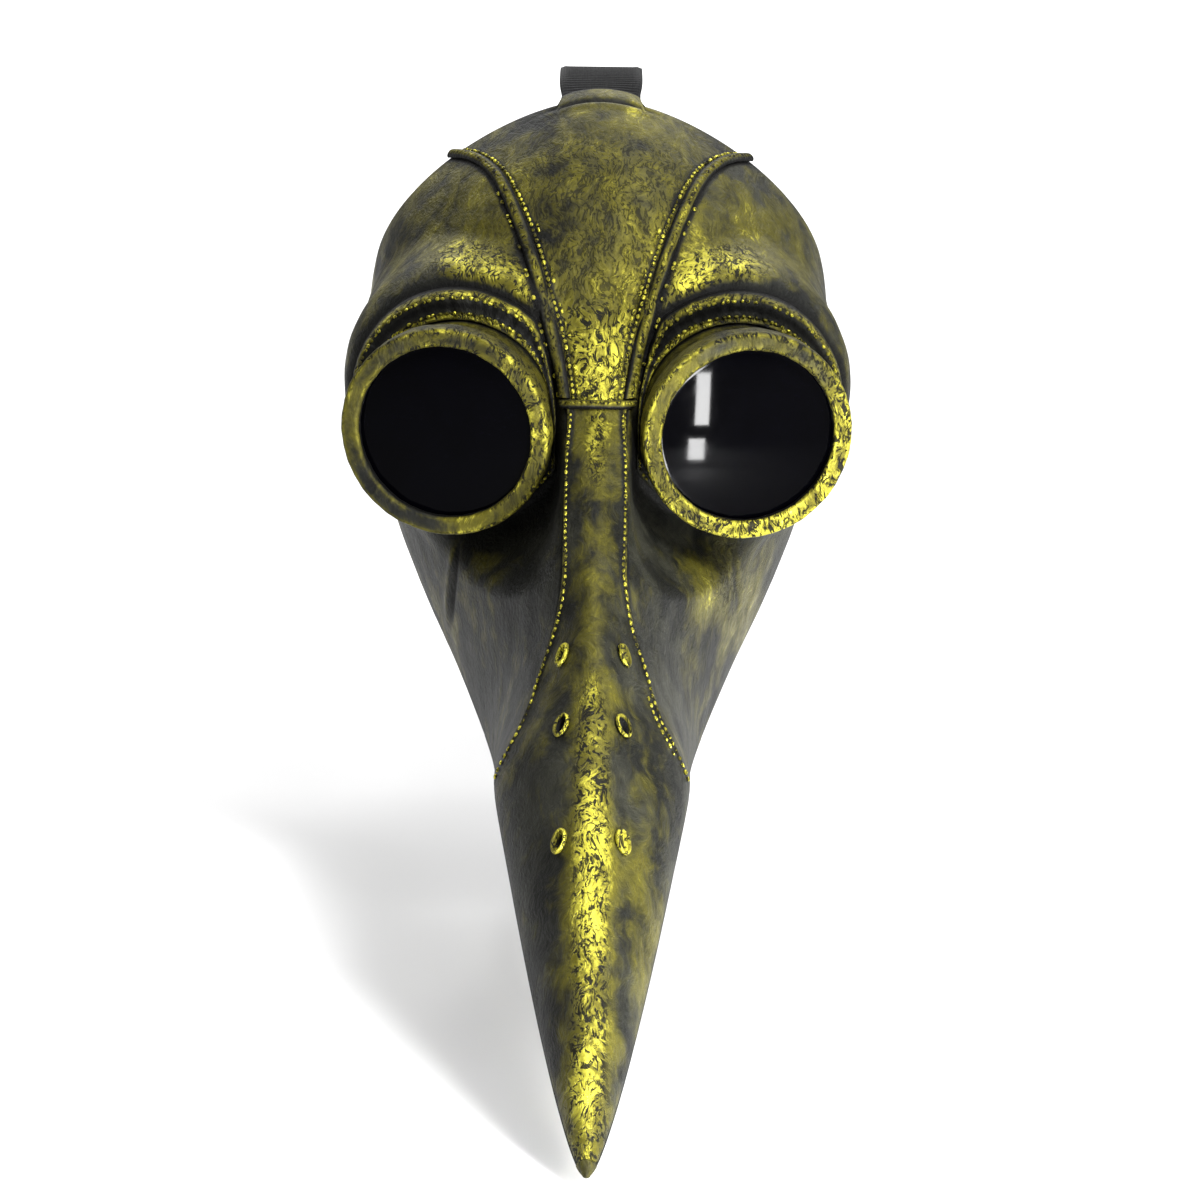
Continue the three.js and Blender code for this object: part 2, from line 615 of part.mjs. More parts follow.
// A shallow dome: its flat edge is held by the rim, and its middle stands up inside the rim.
function eyeLens() {
  const domeRadius = rimInner - GAP;
  const dome = [1, 0.75, 0.4, 0].map((s) => [domeRadius * s, lensFront + LENS_DOME * (1 - s * s)]);
  return turned([[0, lensBack], [LENS_RADIUS, lensBack], [LENS_RADIUS, lensFront], ...dome], eyeFrame);
}

// Stitched collar laid on the skin round the tube, and higher than it.
function eyeCollar() {
  const radius = CUP_RADIUS + COLLAR_WIDTH;
  const rows = rowsBetween(COLLAR_START, COLLAR_END);
  const edge = (t) => seamAcross(t) + across(t, seamAcross(t), GAP / 2);
  const place = (t, v) => [t, lerp(edge(t), 1, v)];
  const patch = slab(rows, SIDE_COLUMNS, place, () => GAP, () => GAP + COLLAR_THICKNESS);
  const beside = WELT_HALF_WIDTH + 3 * GAP;
  const besideWelt = (t, v) => [t, seamAcross(t) + across(t, seamAcross(t), beside) * (2 * v - 1)];
  const weltSpace = slab(rows, BESIDE_COLUMNS, besideWelt, () => -SHELL, () => 3 * COLLAR_THICKNESS);
  const shift = new THREE.Matrix4().makeTranslation(0, COLLAR_LIFT, 0);
  const profile = [[0, -FAR], [radius, -FAR], [radius, COLLAR_FRONT], [0, COLLAR_FRONT]];
  const outline = turned(profile, eyeFrame.clone().multiply(shift));
  return patch.intersect(outline).subtract(eyeHole).subtract(weltSpace);
}

// ---- breathing eyelets ----
const shares = stations.map((s) => s.share);
function ventFrame(share, side) {
  const after = shares.findIndex((known) => known > share);
  const t = after - 1 + (share - shares[after - 1]) / (shares[after] - shares[after - 1]);
  const u = side * acrossTo(t, VENT_OFFSET);
  const up = skin(t - 0.01, u).sub(skin(t + 0.01, u));
  return frameAt(skin(t, u), skinNormal(t, u), up);
}

// A point of the vent's oval, a distance outside the hole.
const ovalPoint = (out, angle) =>
  new THREE.Vector2((VENT_HALF_WIDTH + out) * Math.cos(angle), (VENT_HALF_LENGTH + out) * Math.sin(angle));

// An oval solid from a profile of [distance outside the hole, height] pairs.
function oval(profile, matrix) {
  const corner = (out, z, angle) => {
    const point = ovalPoint(out, angle);
    return vec(point.x, point.y, z).applyMatrix4(matrix);
  };
  const ring = (angle) => [...profile, profile[0]].map(([out, z]) => corner(out, z, angle));
  const corners = [];
  for (let i = 0; i < VENT_SEGMENTS; i++) {
    const a = ring((2 * Math.PI * i) / VENT_SEGMENTS);
    const b = ring((2 * Math.PI * ((i + 1) % VENT_SEGMENTS)) / VENT_SEGMENTS);
    for (let j = 0; j < profile.length; j++) corners.push(a[j], b[j], b[j + 1], a[j], b[j + 1], a[j + 1]);
  }
  return toManifold(new THREE.BufferGeometry().setFromPoints(corners));
}

function ventGrommet(matrix) {
  const back = -SHELL - VENT_INSIDE;
  return oval(
    [[0, back], [VENT_BARREL, back], [VENT_BARREL, VENT_SEAT], [VENT_BARREL + VENT_FLANGE, VENT_SEAT],
      [VENT_BARREL + VENT_FLANGE * 0.6, VENT_SEAT + VENT_RISE], [0, VENT_SEAT + VENT_RISE * 0.7]],
    matrix,
  );
}

function ventHole(matrix) {
  const clear = VENT_BARREL + GAP;
  const angles = Array.from({ length: VENT_SEGMENTS }, (_, i) => (2 * Math.PI * i) / VENT_SEGMENTS);
  const points = angles.map((angle) => ovalPoint(clear, angle));
  return plate(new THREE.Shape(points), -SHELL * 2, SHELL * 2, matrix);
}

// ---- harness ----
// A strap is bonded inside the skin and then runs free. startRows are rows of skin places [t, u] from the
// strap's end to the skin's edge, and the route is the free centre line after the edge.
function strap(startRows, route, width, edgeFade) {
  const columns = startRows[0].length;
  const last = startRows[startRows.length - 1];
  const layer = (offset) => {
    const bonded = startRows.map((row) => row.map(([t, u]) => offsetSkin(t, u, bondDepth + offset)));
    const free = (spot, j) =>
      spot.point.clone().addScaledVector(spot.normal, offset)
        .addScaledVector(spot.width, width * (j / (columns - 1) - 0.5));
    const misfit = last.map(([t, u], j) => offsetSkin(t, u, bondDepth + offset).sub(free(route[0], j)));
    const start = route[0].point;
    const running = route.slice(1).map((spot) => {
      const fade = 1 - smoothstep(spot.point.distanceTo(start), 0, edgeFade);
      return misfit.map((error, j) => free(spot, j).addScaledVector(error, fade));
    });
    return [...bonded, ...running];
  };
  return toManifold(gridGeometry(layer(STRAP_THICKNESS / 2), layer(-STRAP_THICKNESS / 2)));
}
const bondDepth = -SHELL - BOND - STRAP_THICKNESS / 2;

// Points of a quarter ellipse from angle 0 to 90 degrees, with the direction straight out from the head.
const quarter = (count) => Array.from({ length: count + 1 }, (_, i) => (i / count) * (Math.PI / 2));

// Side strap: straight back from the temple, round the back of the head, to the back patch.
const sideHeights = [-0.5, 0, 0.5].map((share) => SIDE_STRAP_HEIGHT - share * STRAP_WIDTH);
const sideStations = sideHeights.map((height) => stationAtFlankHeight(height));
const sideEdge = offsetSkin(sideStations[1], 1, bondDepth);
const SIDE_LINE = sideEdge.x; // the side straps' distance from the midline
const sideStart = sideEdge.y;
function stationAtFlankHeight(height) {
  let [low, high] = [EDGE_STATION, CHIN_STATION];
  for (let i = 0; i < 30; i++) {
    const middle = (low + high) / 2;
    if (station.flankUp(middle) > height) low = middle;
    else high = middle;
  }
  return low;
}

const BEND_STEPS = 10;
function sideStrap() {
  const end = inFromFlank(sideStations[1], STRAP_OVERLAP);
  const quarters = [0, 0.25, 0.5, 0.75, 1];
  const atRow = (u) => quarters.map((share) => [lerp(sideStations[0], sideStations[2], share), u]);
  const startRows = quarters.map((share) => atRow(lerp(end, 1, share)));
  const width = vec(0, 0, -1);
  const at = (x, y, nx, ny) => {
    return { point: vec(x, y, SIDE_STRAP_HEIGHT), normal: vec(nx, ny, 0).normalize(), width };
  };
  const bendStart = sideStart + SIDE_STRAIGHT;
  const depth = HEAD_BACK - bendStart;
  const half = SIDE_LINE - PATCH_REACH;
  const runs = [0, 0.08, 0.17, 0.27, 0.4];
  const straight = runs.map((s) => at(SIDE_LINE, sideStart + s * SIDE_STRAIGHT, 1, 0));
  const bend = quarter(BEND_STEPS).map((a) => {
    const [x, y] = [half * Math.cos(a), depth * Math.sin(a)];
    return at(PATCH_REACH + x, bendStart + y, (depth * x) / half, (half * y) / depth);
  });
  const route = [...straight, ...bend, at(STRAP_MEETING / 2, HEAD_BACK, 0, 1)];
  return strap(startRows, route, STRAP_WIDTH, STRAP_SETTLE);
}

// Top strap: from under the tongue over the crown and down to the back patch.
const topEnd = SIDE_STRAP_HEIGHT + STRAP_WIDTH / 2 + STRAP_MEETING;
const patchTop = topEnd + PATCH_REACH;
const HALF_TURN = Math.SQRT1_2; // sine and cosine of the 45 degree run
const backSpan = HEAD_BACK - HEAD_CROWN - HALF_TURN * TOP_STRAIGHT;
const downSpan = HEAD_TOP - patchTop - HALF_TURN * TOP_STRAIGHT;
const crownRadius = (HALF_TURN * backSpan - (1 - HALF_TURN) * downSpan) / (2 * HALF_TURN - 1);
const napeRadius = (HALF_TURN * downSpan - (1 - HALF_TURN) * backSpan) / (2 * HALF_TURN - 1);
function topStrap() {
  const reach = along(EDGE_STATION, 0, STRAP_OVERLAP);
  const startRows = steps(tongueEnd, EDGE_STATION + reach, reach / 4).map((t) =>
    Array.from({ length: 5 }, (_, j) => {
      const share = j / 2 - 1;
      return [t, Math.sign(share) * acrossTo(t, (Math.abs(share) * STRAP_WIDTH) / 2)];
    }),
  );
  const width = vec(1, 0, 0);
  const at = (y, z, ny, nz) => ({ point: vec(0, y, z), normal: vec(0, ny, nz).normalize(), width });
  const edge = offsetSkin(tongueEnd, 0, bondDepth);
  const handle = (HEAD_CROWN - edge.y) / 2;
  const slope = skin(tongueEnd - 0.01, 0).sub(skin(tongueEnd + 0.01, 0)).normalize();
  const rise = [0, 0.2, 0.4, 0.6, 0.8].map((s) => {
    const y = bezier(edge.y, edge.y + handle * slope.y, HEAD_CROWN - handle, HEAD_CROWN, s);
    const z = bezier(edge.z, edge.z + handle * slope.z, HEAD_TOP, HEAD_TOP, s);
    return at(y, z, lerp(-slope.z, 0, s), lerp(slope.y, 1, s));
  });
  const bend = (radius, middle, angles) =>
    angles.map((a) => {
      const [back, up] = [Math.sin(a), Math.cos(a)];
      return at(middle.y + radius * back, middle.z + radius * up, back, up);
    });
  const eighths = [0, 0.2, 0.4, 0.6, 0.8, 1].map((share) => (share * Math.PI) / 4);
  const route = [
    ...rise,
    ...bend(crownRadius, vec(0, HEAD_CROWN, HEAD_TOP - crownRadius), eighths),
    ...bend(napeRadius, vec(0, HEAD_BACK - napeRadius, patchTop), eighths.map((a) => a + Math.PI / 4)),
    at(HEAD_BACK, topEnd, 1, 0),
  ];
  return strap(startRows.reverse(), route, STRAP_WIDTH, STRAP_SETTLE);
}

// Patch bonded over the strap's end inside the skin.
function sideAnchor() {
  const margin = along(sideStations[1], 1, ANCHOR_MARGIN);
  const deep = inFromFlank(sideStations[1], STRAP_OVERLAP + ANCHOR_MARGIN);
  const shallow = inFromFlank(sideStations[1], ANCHOR_MARGIN);
  const rows = steps(sideStations[0] - margin, sideStations[2] + margin, FINE_STEP);
  const place = (t, v) => [t, lerp(deep, shallow, v)];
  return slab(rows, 4, place, () => anchorDepth - PATCH_THICKNESS, () => anchorDepth);
}
function topAnchor() {
  const margin = along(EDGE_STATION, 0, ANCHOR_MARGIN);
  const reach = along(EDGE_STATION, 0, STRAP_OVERLAP + ANCHOR_MARGIN);
  const rows = steps(EDGE_STATION + margin, EDGE_STATION + reach, FINE_STEP / 2);
  const place = (t, v) => {
    const share = 2 * v - 1;
    return [t, Math.sign(share) * acrossTo(t, Math.abs(share) * (STRAP_WIDTH / 2 + ANCHOR_MARGIN))];
  };
  return slab(rows, 6, place, () => anchorDepth - PATCH_THICKNESS, () => anchorDepth);
}
const anchorDepth = -SHELL - STRAP_THICKNESS - 2 * BOND;

// T-shaped patches hold the three strap ends between them at the back of the head.
function backPatch(side) {
  const half = STRAP_WIDTH / 2 + PATCH_MARGIN;
  const reach = PATCH_REACH - GAP;
  const bottom = SIDE_STRAP_HEIGHT - half;
  const shoulder = SIDE_STRAP_HEIGHT + half;
  const outline = new THREE.Shape();
  outline.moveTo(-reach, bottom);
  outline.lineTo(reach, bottom);
  outline.lineTo(reach, shoulder);
  outline.lineTo(half, shoulder);
  outline.lineTo(half, topEnd + reach);
  outline.lineTo(-half, topEnd + reach);
  outline.lineTo(-half, shoulder);
  outline.lineTo(-reach, shoulder);
  outline.closePath();
  const near = HEAD_BACK + side * (STRAP_THICKNESS / 2 + GAP);
  const far = near + side * PATCH_THICKNESS;
  // The outline's X and Y become the frame's X and Z, so the plate is extruded along -Y.
  const upright = new THREE.Matrix4().makeRotationX(Math.PI / 2);
  return plate(outline, -Math.max(near, far), -Math.min(near, far), upright);
}

// Tri-glide: two bars outside the strap and one inside it, joined by rails along its edges. Its frame's X
// runs across the strap, Y along it and Z away from the head.
function slider(matrix) {
  const here = new THREE.Matrix4();
  const near = STRAP_THICKNESS / 2 + SLIDER_PLAY;
  const far = near + SLIDER_THICKNESS;
  const inside = STRAP_WIDTH / 2 + SLIDER_PLAY;
  const width = 2 * (inside + SLIDER_RAIL);
  const frame = new THREE.Shape();
  addRoundedRectangle(frame, width, SLIDER_LENGTH, SLIDER_ROUND);
  const window = SLIDER_LENGTH - 2 * SLIDER_BAR;
  frame.holes.push(addRoundedRectangle(new THREE.Path(), 2 * inside, window, SLIDER_CORNER));
  const bar = new THREE.Shape();
  addRoundedRectangle(bar, width - 2 * SLIDER_CORNER, SLIDER_BAR, SLIDER_CORNER);
  const rails = [-1, 1].map((side) => {
    const rail = new THREE.Shape();
    const x = side * (inside + SLIDER_RAIL / 2);
    addRoundedRectangle(rail, SLIDER_RAIL, SLIDER_LENGTH - 3 * SLIDER_ROUND, SLIDER_CORNER, x);
    return plate(rail, -far, near + SLIDER_THICKNESS / 2, here);
  });
  const whole = rails.reduce((solid, rail) => solid.add(rail), plate(frame, near, far, here));
  return moved(whole.add(plate(bar, -far + SLIDER_CORNER / 2, -near, here)), matrix);
}
const sideSliderY = sideStart + SIDE_STRAIGHT - SLIDER_TRAVEL - SLIDER_LENGTH / 2;
const sideSliderPoint = vec(SIDE_LINE, sideSliderY, SIDE_STRAP_HEIGHT);
const crownDrop = crownRadius * (1 - HALF_TURN);
const topRunStart = vec(0, HEAD_CROWN + crownRadius * HALF_TURN, HEAD_TOP - crownDrop);
const topRun = vec(0, HALF_TURN, -HALF_TURN);
const topSliderPoint = topRunStart.clone().addScaledVector(topRun, TOP_STRAIGHT / 2);

// ---- assembly ----
const ventFrames = VENT_SHARES.flatMap((share) => [ventFrame(share, 1), ventFrame(share, -1)]);
const pierced = ventFrames.reduce((panel, matrix) => panel.subtract(ventHole(matrix)), beakTop());

add("forehead_panel", foreheadPanel(), "latex");
addPair("side_panel", sidePanel(), "latex");
add("beak_top", pierced, "latex");
add("beak_bottom", beakBottom(), "latex");
add("beak_tip", beakTip(), "latex");
addPair("seam_welt", seamWelt(), "latex");
add("bridge_welt", crossWelt(), "latex");
addPair("eye_collar", eyeCollar(), "latex");
addPair("eye_cup", eyeCup(), "latex");
addPair("eye_rim", eyeRim(), "gilt");
addPair("eye_lens", eyeLens(), "lens");
addPair("lens_gasket", lensGasket(), "gasket");
ventFrames.forEach((matrix, i) => {
  const row = ["upper", "middle", "lower"][Math.floor(i / 2)];
  const side = ["left", "right"][i % 2];
  add(`vent_grommet_${row}_${side}`, ventGrommet(matrix), "gilt");
});
addPair("side_strap", sideStrap(), "elastic");
add("top_strap", topStrap(), "elastic");
addPair("side_anchor", sideAnchor(), "elastic");
add("top_anchor", topAnchor(), "elastic");
add("back_patch_outer", backPatch(1), "elastic");
add("back_patch_inner", backPatch(-1), "elastic");
const besideHead = new THREE.Matrix4().makeBasis(vec(0, 0, -1), vec(0, 1, 0), vec(1, 0, 0));
addPair("slider", slider(besideHead.setPosition(sideSliderPoint)), "buckle");
const downTheBack = new THREE.Matrix4().makeBasis(vec(1, 0, 0), topRun, vec(0, HALF_TURN, HALF_TURN));
add("slider_top", slider(downTheBack.setPosition(topSliderPoint)), "buckle");

export default model;
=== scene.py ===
import math

import bmesh
import bpy
import numpy as np
from mathutils import Matrix, Vector
from mathutils.bvhtree import BVHTree


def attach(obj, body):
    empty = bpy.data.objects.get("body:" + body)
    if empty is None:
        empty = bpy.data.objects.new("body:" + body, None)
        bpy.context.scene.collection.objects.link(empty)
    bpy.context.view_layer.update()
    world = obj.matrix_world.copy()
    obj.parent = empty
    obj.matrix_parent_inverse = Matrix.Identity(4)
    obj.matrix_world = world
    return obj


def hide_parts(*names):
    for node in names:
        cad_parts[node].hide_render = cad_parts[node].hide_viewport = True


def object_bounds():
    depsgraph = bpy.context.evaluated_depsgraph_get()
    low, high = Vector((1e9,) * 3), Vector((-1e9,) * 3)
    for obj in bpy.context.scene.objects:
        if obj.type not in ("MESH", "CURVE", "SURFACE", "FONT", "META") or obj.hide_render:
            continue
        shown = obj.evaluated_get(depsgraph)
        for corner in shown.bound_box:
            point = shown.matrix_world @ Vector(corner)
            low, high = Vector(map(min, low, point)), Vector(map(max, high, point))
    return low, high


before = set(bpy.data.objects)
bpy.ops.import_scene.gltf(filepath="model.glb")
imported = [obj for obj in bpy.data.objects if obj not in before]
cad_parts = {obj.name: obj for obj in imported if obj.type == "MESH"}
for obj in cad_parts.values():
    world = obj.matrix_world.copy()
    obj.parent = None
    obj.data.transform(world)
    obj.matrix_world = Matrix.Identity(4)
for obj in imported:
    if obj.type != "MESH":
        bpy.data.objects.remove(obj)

cad_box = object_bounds()

# ---- Camera, lights and floor ----
# Seen from the front and a little above, through a long lens, over a pale floor. A soft key lamp stands high on
# the mask's left, and two narrow windows put the bright strips into one lens.
VIEW_DOWN = math.radians(15)
VIEW_DISTANCE = 1.1
VIEW_CENTRE = (0.00175, -0.0178, -0.0663)
VIEW_LENS = 94.29
camera_data = bpy.data.cameras.new("front")
camera_data.lens = VIEW_LENS
camera_data.sensor_width = 36
camera = bpy.data.objects.new("front", camera_data)
camera.location = (VIEW_CENTRE[0], VIEW_CENTRE[1] - VIEW_DISTANCE * math.cos(VIEW_DOWN),
                   VIEW_CENTRE[2] + VIEW_DISTANCE * math.sin(VIEW_DOWN))
VIEW_ROLL = math.radians(0.7)
turn = Matrix.Rotation(math.pi / 2 - VIEW_DOWN, 3, "X") @ Matrix.Rotation(VIEW_ROLL, 3, "Z")
camera.rotation_euler = turn.to_euler()
bpy.context.collection.objects.link(camera)
bpy.context.scene.camera = camera
bpy.context.scene.view_settings.view_transform = "Standard"


def lamp(name, place, target, size, power):
    data = bpy.data.lights.new(name, "AREA")
    data.shape = "RECTANGLE"
    data.size, data.size_y = size
    data.energy = power
    light = bpy.data.objects.new(name, data)
    light.location = place
    light.rotation_euler = (Vector(target) - Vector(place)).to_track_quat("-Z", "Y").to_euler()
    bpy.context.collection.objects.link(light)
    return light


lamp("key", (0.9, -1.0, 1.25), (0, -0.1, 0), (0.35, 0.5), 36)
lamp("fill", (-1.5, -1.0, 0.5), (0, -0.1, 0), (0.6, 1.0), 0.6)
lamp("over", (0.1, -0.2, 1.6), (0, -0.1, 0), (0.9, 0.4), 11)
lamp("far floor", (0, 3.2, 2.4), (0, 3.2, 0), (7.0, 4.0), 300)
for name, place, size, power in (("window", (0.155, -0.52, -0.075), (0.022, 0.085), 2.2),
                                 ("low window", (0.126, -0.439, -0.128), (0.022, 0.03), 0.75)):
    lamp(name, place, (0.048, -0.113, 0.013), size, power).visible_camera = False

world = bpy.data.worlds.new("room")
world.use_nodes = True
world.node_tree.nodes["Background"].inputs["Color"].default_value = (1, 1, 1, 1)
world.node_tree.nodes["Background"].inputs["Strength"].default_value = 0.15
bpy.context.scene.world = world

floor_mesh = bpy.data.meshes.new("floor")
FLOOR_DROP = cad_box[0][2] - 0.004
floor_mesh.from_pydata([(-4, -3, FLOOR_DROP), (4, -3, FLOOR_DROP), (4, 5, FLOOR_DROP), (-4, 5, FLOOR_DROP)], [],
                       [(0, 1, 2, 3)])
floor = bpy.data.objects.new("floor", floor_mesh)
bpy.context.collection.objects.link(floor)
floor_paint = bpy.data.materials.new("floor")
floor_paint.use_nodes = True
floor_paint.node_tree.nodes["Principled BSDF"].inputs["Base Color"].default_value = (0.86, 0.86, 0.86, 1)
floor_paint.node_tree.nodes["Principled BSDF"].inputs["Roughness"].default_value = 0.7
floor_mesh.materials.append(floor_paint)

# ---- Forehead panel ----
# The skin is moulded latex, 3 mm thick, a hood with a long drooping beak, glued together from panels. The middle
# panel runs from the top edge down to the nose bridge between two welted seams, and a rounded tongue at its top
# covers the end of the strap. Stations count sections of the skin, from the top edge down to the beak's tip.
GAP = 0.0003
SHELL = 0.003
FACE_HALF_WIDTH = 0.081
FACE_RISE = 0.110
FACE_DEPTH = 0.106
BEAK_LENGTH = 0.264
BEAK_DROOP = math.radians(39.3)
BEAK_ARCH = 0.007
BEAK_HALF_WIDTH = 0.0292
BEAK_TIP_HALF_WIDTH = 0.0011
BEAK_TAPER = 0.78
BEAK_ROOT = 0.48
BEAK_SHARES = [BEAK_ROOT, 0.6, 0.71, 0.81, 0.89, 0.95, 0.985, 1.0]
BRIDGE_RISE = 0.19
# Each row: ridge forward and up (or None and the share along the beak), flank forward and up, half width,
# fullness at the ridge, fullness at the cheek, keel depth. All but the keel are shares of the face.
FACE_STATIONS = [
    (0.12, 1.05, -0.1, 0.45, 0.94, 0.38, 0.44, 0.011),
    (0.34, 1.0, 0.04, 0.42, 0.95, 0.38, 0.46, 0.011),
    (0.6, 0.84, 0.03, 0.36, 0.965, 0.46, 0.54, 0.011),
    (0.8, 0.585, 0.01, 0.26, 0.98, 0.54, 0.6, 0.011),
    (0.91, 0.37, -0.01, 0.13, 0.98, 0.52, 0.62, 0.011),
    (None, 0.0, -0.01, 0.0, 0.97, 0.46, 0.6, 0.011),
    (None, 0.085, 0.0, -0.165, 0.94, 0.36, 0.54, 0.011),
    (None, 0.16, 0.09, -0.37, 0.855, 0.36, 0.46, 0.011),
    (None, 0.22, 0.25, -0.57, 0.725, 0.36, 0.42, 0.011),
    (None, 0.27, 0.47, -0.735, 0.58, 0.38, 0.42, 0.011),
    (None, 0.32, 0.755, -0.875, 0.45, 0.36, 0.46, 0.011),
    (None, 0.39, 1.18, -0.86, 0.385, 0.45, 0.5, 0.019),
]
EDGE_STATION = 1
BRIDGE_STATION = 5
CHIN_STATION = 10
SEAM_END = 12
RIDGE_RISE = 0.0026
RIDGE_SPREAD = 0.0085


def ridge_at(share):
    arch = BEAK_ARCH * math.sin(math.pi * share)
    down, out = math.sin(BEAK_DROOP), math.cos(BEAK_DROOP)
    forward = FACE_DEPTH + share * BEAK_LENGTH * out + arch * down
    up = BRIDGE_RISE * FACE_RISE - share * BEAK_LENGTH * down + arch * out
    return forward, up


def station_rows():
    rows = []
    for forward, up, flank_forward, flank_up, width, crown, cheek, keel in FACE_STATIONS:
        ridge = ridge_at(up) if forward is None else (forward * FACE_DEPTH, up * FACE_RISE)
        flank = (flank_forward * FACE_DEPTH, flank_up * FACE_RISE)
        rows.append((*ridge, *flank, width * FACE_HALF_WIDTH, crown, cheek, keel, up if forward is None else -1))
    for share in BEAK_SHARES:
        taper = ((1 - share) / (1 - BEAK_ROOT)) ** BEAK_TAPER
        half = BEAK_TIP_HALF_WIDTH + (BEAK_HALF_WIDTH - BEAK_TIP_HALF_WIDTH) * taper
        forward, up = ridge_at(share)
        drop = 1.25 * half
        flank = (forward - drop * math.sin(BEAK_DROOP), up - drop * math.cos(BEAK_DROOP))
        rows.append((forward, up, *flank, half, 0.5, 0.5, half, share))
    return np.array(rows)


STATIONS = station_rows()
TIP_STATION = len(STATIONS) - 1
TIP_CUT = TIP_STATION - 1


def station_values(t):
    """Every station value at real places t, by a smooth curve through the stations."""
    t = np.asarray(t, float)
    i = np.clip(np.floor(t).astype(int), 0, TIP_STATION - 1)
    f = (t - i)[..., None]
    a, b, c, d = (STATIONS[np.clip(i + k, 0, TIP_STATION)] for k in (-1, 0, 1, 2))
    values = b + 0.5 * f * (c - a + f * (2 * a - 5 * b + 4 * c - d + f * (3 * (b - c) + d - a)))
    return np.moveaxis(values, -1, 0)


def curve_between(a, b, c, d, s):
    r = 1 - s
    return r**3 * a + 3 * r * r * s * b + 3 * r * s * s * c + s**3 * d


def ramp(x, low, high):
    s = np.clip((x - low) / (high - low), 0, 1)
    return s * s * (3 - 2 * s)


def loft(t, u):
    """The plain moulded form: u is 0 at the ridge, 1 at the left flank, 2 at the keel, 3 at the right flank."""
    u = np.where(u > 2, u - 4, u)
    v = np.abs(u)
    forward, up, flank_forward, flank_up, half, crown, cheek, keel, _ = station_values(t)
    ahead, above = forward - flank_forward, up - flank_up
    height = np.hypot(ahead, above)
    s = np.clip(v, 0, 1)
    x_top = curve_between(0, crown * half, half, half, s)
    rise = curve_between(height, height, cheek * height, 0, s)
    strip = RIDGE_RISE * ramp(t, 3.6, BRIDGE_STATION) * (1 - ramp(t, TIP_STATION - 4, TIP_STATION))
    rise = rise + strip * np.exp(-((x_top / RIDGE_SPREAD) ** 2))
    s = np.clip(v - 1, 0, 1)
    x_low = curve_between(half, half, 0.5 * half, 0, s)
    sink = -curve_between(0, 0.5 * keel, keel, keel, s)
    x = np.where(v <= 1, x_top, x_low)
    r = np.where(v <= 1, rise, sink)
    return np.stack([np.sign(u) * x, -(flank_forward + r * ahead / height), flank_up + r * above / height], -1)


def across_to(t, x):
    """The u at which the form is a distance x from the midline."""
    t, x = np.broadcast_arrays(np.asarray(t, float), np.asarray(x, float))
    low, high = np.zeros(t.shape), np.ones(t.shape)
    for _ in range(30):
        middle = (low + high) / 2
        short = loft(t, middle)[..., 0] < x
        low, high = np.where(short, middle, low), np.where(short, high, middle)
    return (low + high) / 2


# The skin is flattened into a seat round each eyepiece.
EYE_OUTWARD = math.radians(11)
EYE_DOWNWARD = math.radians(4)
EYE_STATION = 5.15
EYE_HALF_SPACING = 0.043
LENS_RADIUS = 0.0302
CUP_RADIUS = LENS_RADIUS + GAP
SEAM_BRIDGE = 0.0098
SEAT_RADIUS = CUP_RADIUS + 0.006
SEAT_BLEND = 0.017
EYE_AXIS = np.array([
    math.sin(EYE_OUTWARD) * math.cos(EYE_DOWNWARD),
    -math.cos(EYE_OUTWARD) * math.cos(EYE_DOWNWARD),
    -math.sin(EYE_DOWNWARD),
])
EYE_SEAT = loft(np.float64(EYE_STATION), across_to(EYE_STATION, EYE_HALF_SPACING))
EYE_RIGHTWARD = np.cross([0, 0, 1], EYE_AXIS)
EYE_RIGHTWARD /= np.linalg.norm(EYE_RIGHTWARD)
EYE_UPWARD = np.cross(EYE_AXIS, EYE_RIGHTWARD)


def eye_place(points):
    """Distances of points from the nearer eyepiece's seat: across, up, and out along its axis."""
    q = points.copy()
    q[..., 0] = np.abs(q[..., 0])
    q = q - EYE_SEAT
    return q @ EYE_RIGHTWARD, q @ EYE_UPWARD, q @ EYE_AXIS


def skin(t, u):
    p = loft(t, u)
    right, up, out = eye_place(p)
    near = 1 - ramp(np.hypot(right, up), SEAT_RADIUS, SEAT_RADIUS + SEAT_BLEND)
    side = np.abs(p[..., 0])
    pull = -out * near * ramp(side, SEAM_BRIDGE - 0.002, SEAM_BRIDGE + 0.012)
    sign = np.where(p[..., 0] < 0, -1.0, 1.0)
    axis = np.stack([sign * EYE_AXIS[0], np.full_like(sign, EYE_AXIS[1]), np.full_like(sign, EYE_AXIS[2])], -1)
    return p + axis * pull[..., None]


def skin_normal(t, u):
    h = 1e-3
    along = skin(t + h, u) - skin(t - h, u)
    across = skin(t, u + h) - skin(t, u - h)
    n = np.cross(along, across)
    return n / np.linalg.norm(n, axis=-1, keepdims=True)


def across_length(t, u, length):
    return length * 2e-3 / np.linalg.norm(skin(t, u + 1e-3) - skin(t, u - 1e-3), axis=-1)


def along_length(t, u, length):
    return length * 2e-3 / np.linalg.norm(skin(t + 1e-3, u) - skin(t - 1e-3, u), axis=-1)


# The forehead seams sweep in to the nose bridge, run down beside the nose strip and flare out to the flank.
SEAM_OUT = np.array([0.057, 0.049, 0.033, 0.021, 0.014, SEAM_BRIDGE, SEAM_BRIDGE, SEAM_BRIDGE, SEAM_BRIDGE])
SEAM_FLARE = 8.6
SEAM_DRIFT = 0.52
SEAM_DRIFT_CURVE = 1.6
SEAM_FLARE_CURVE = 18


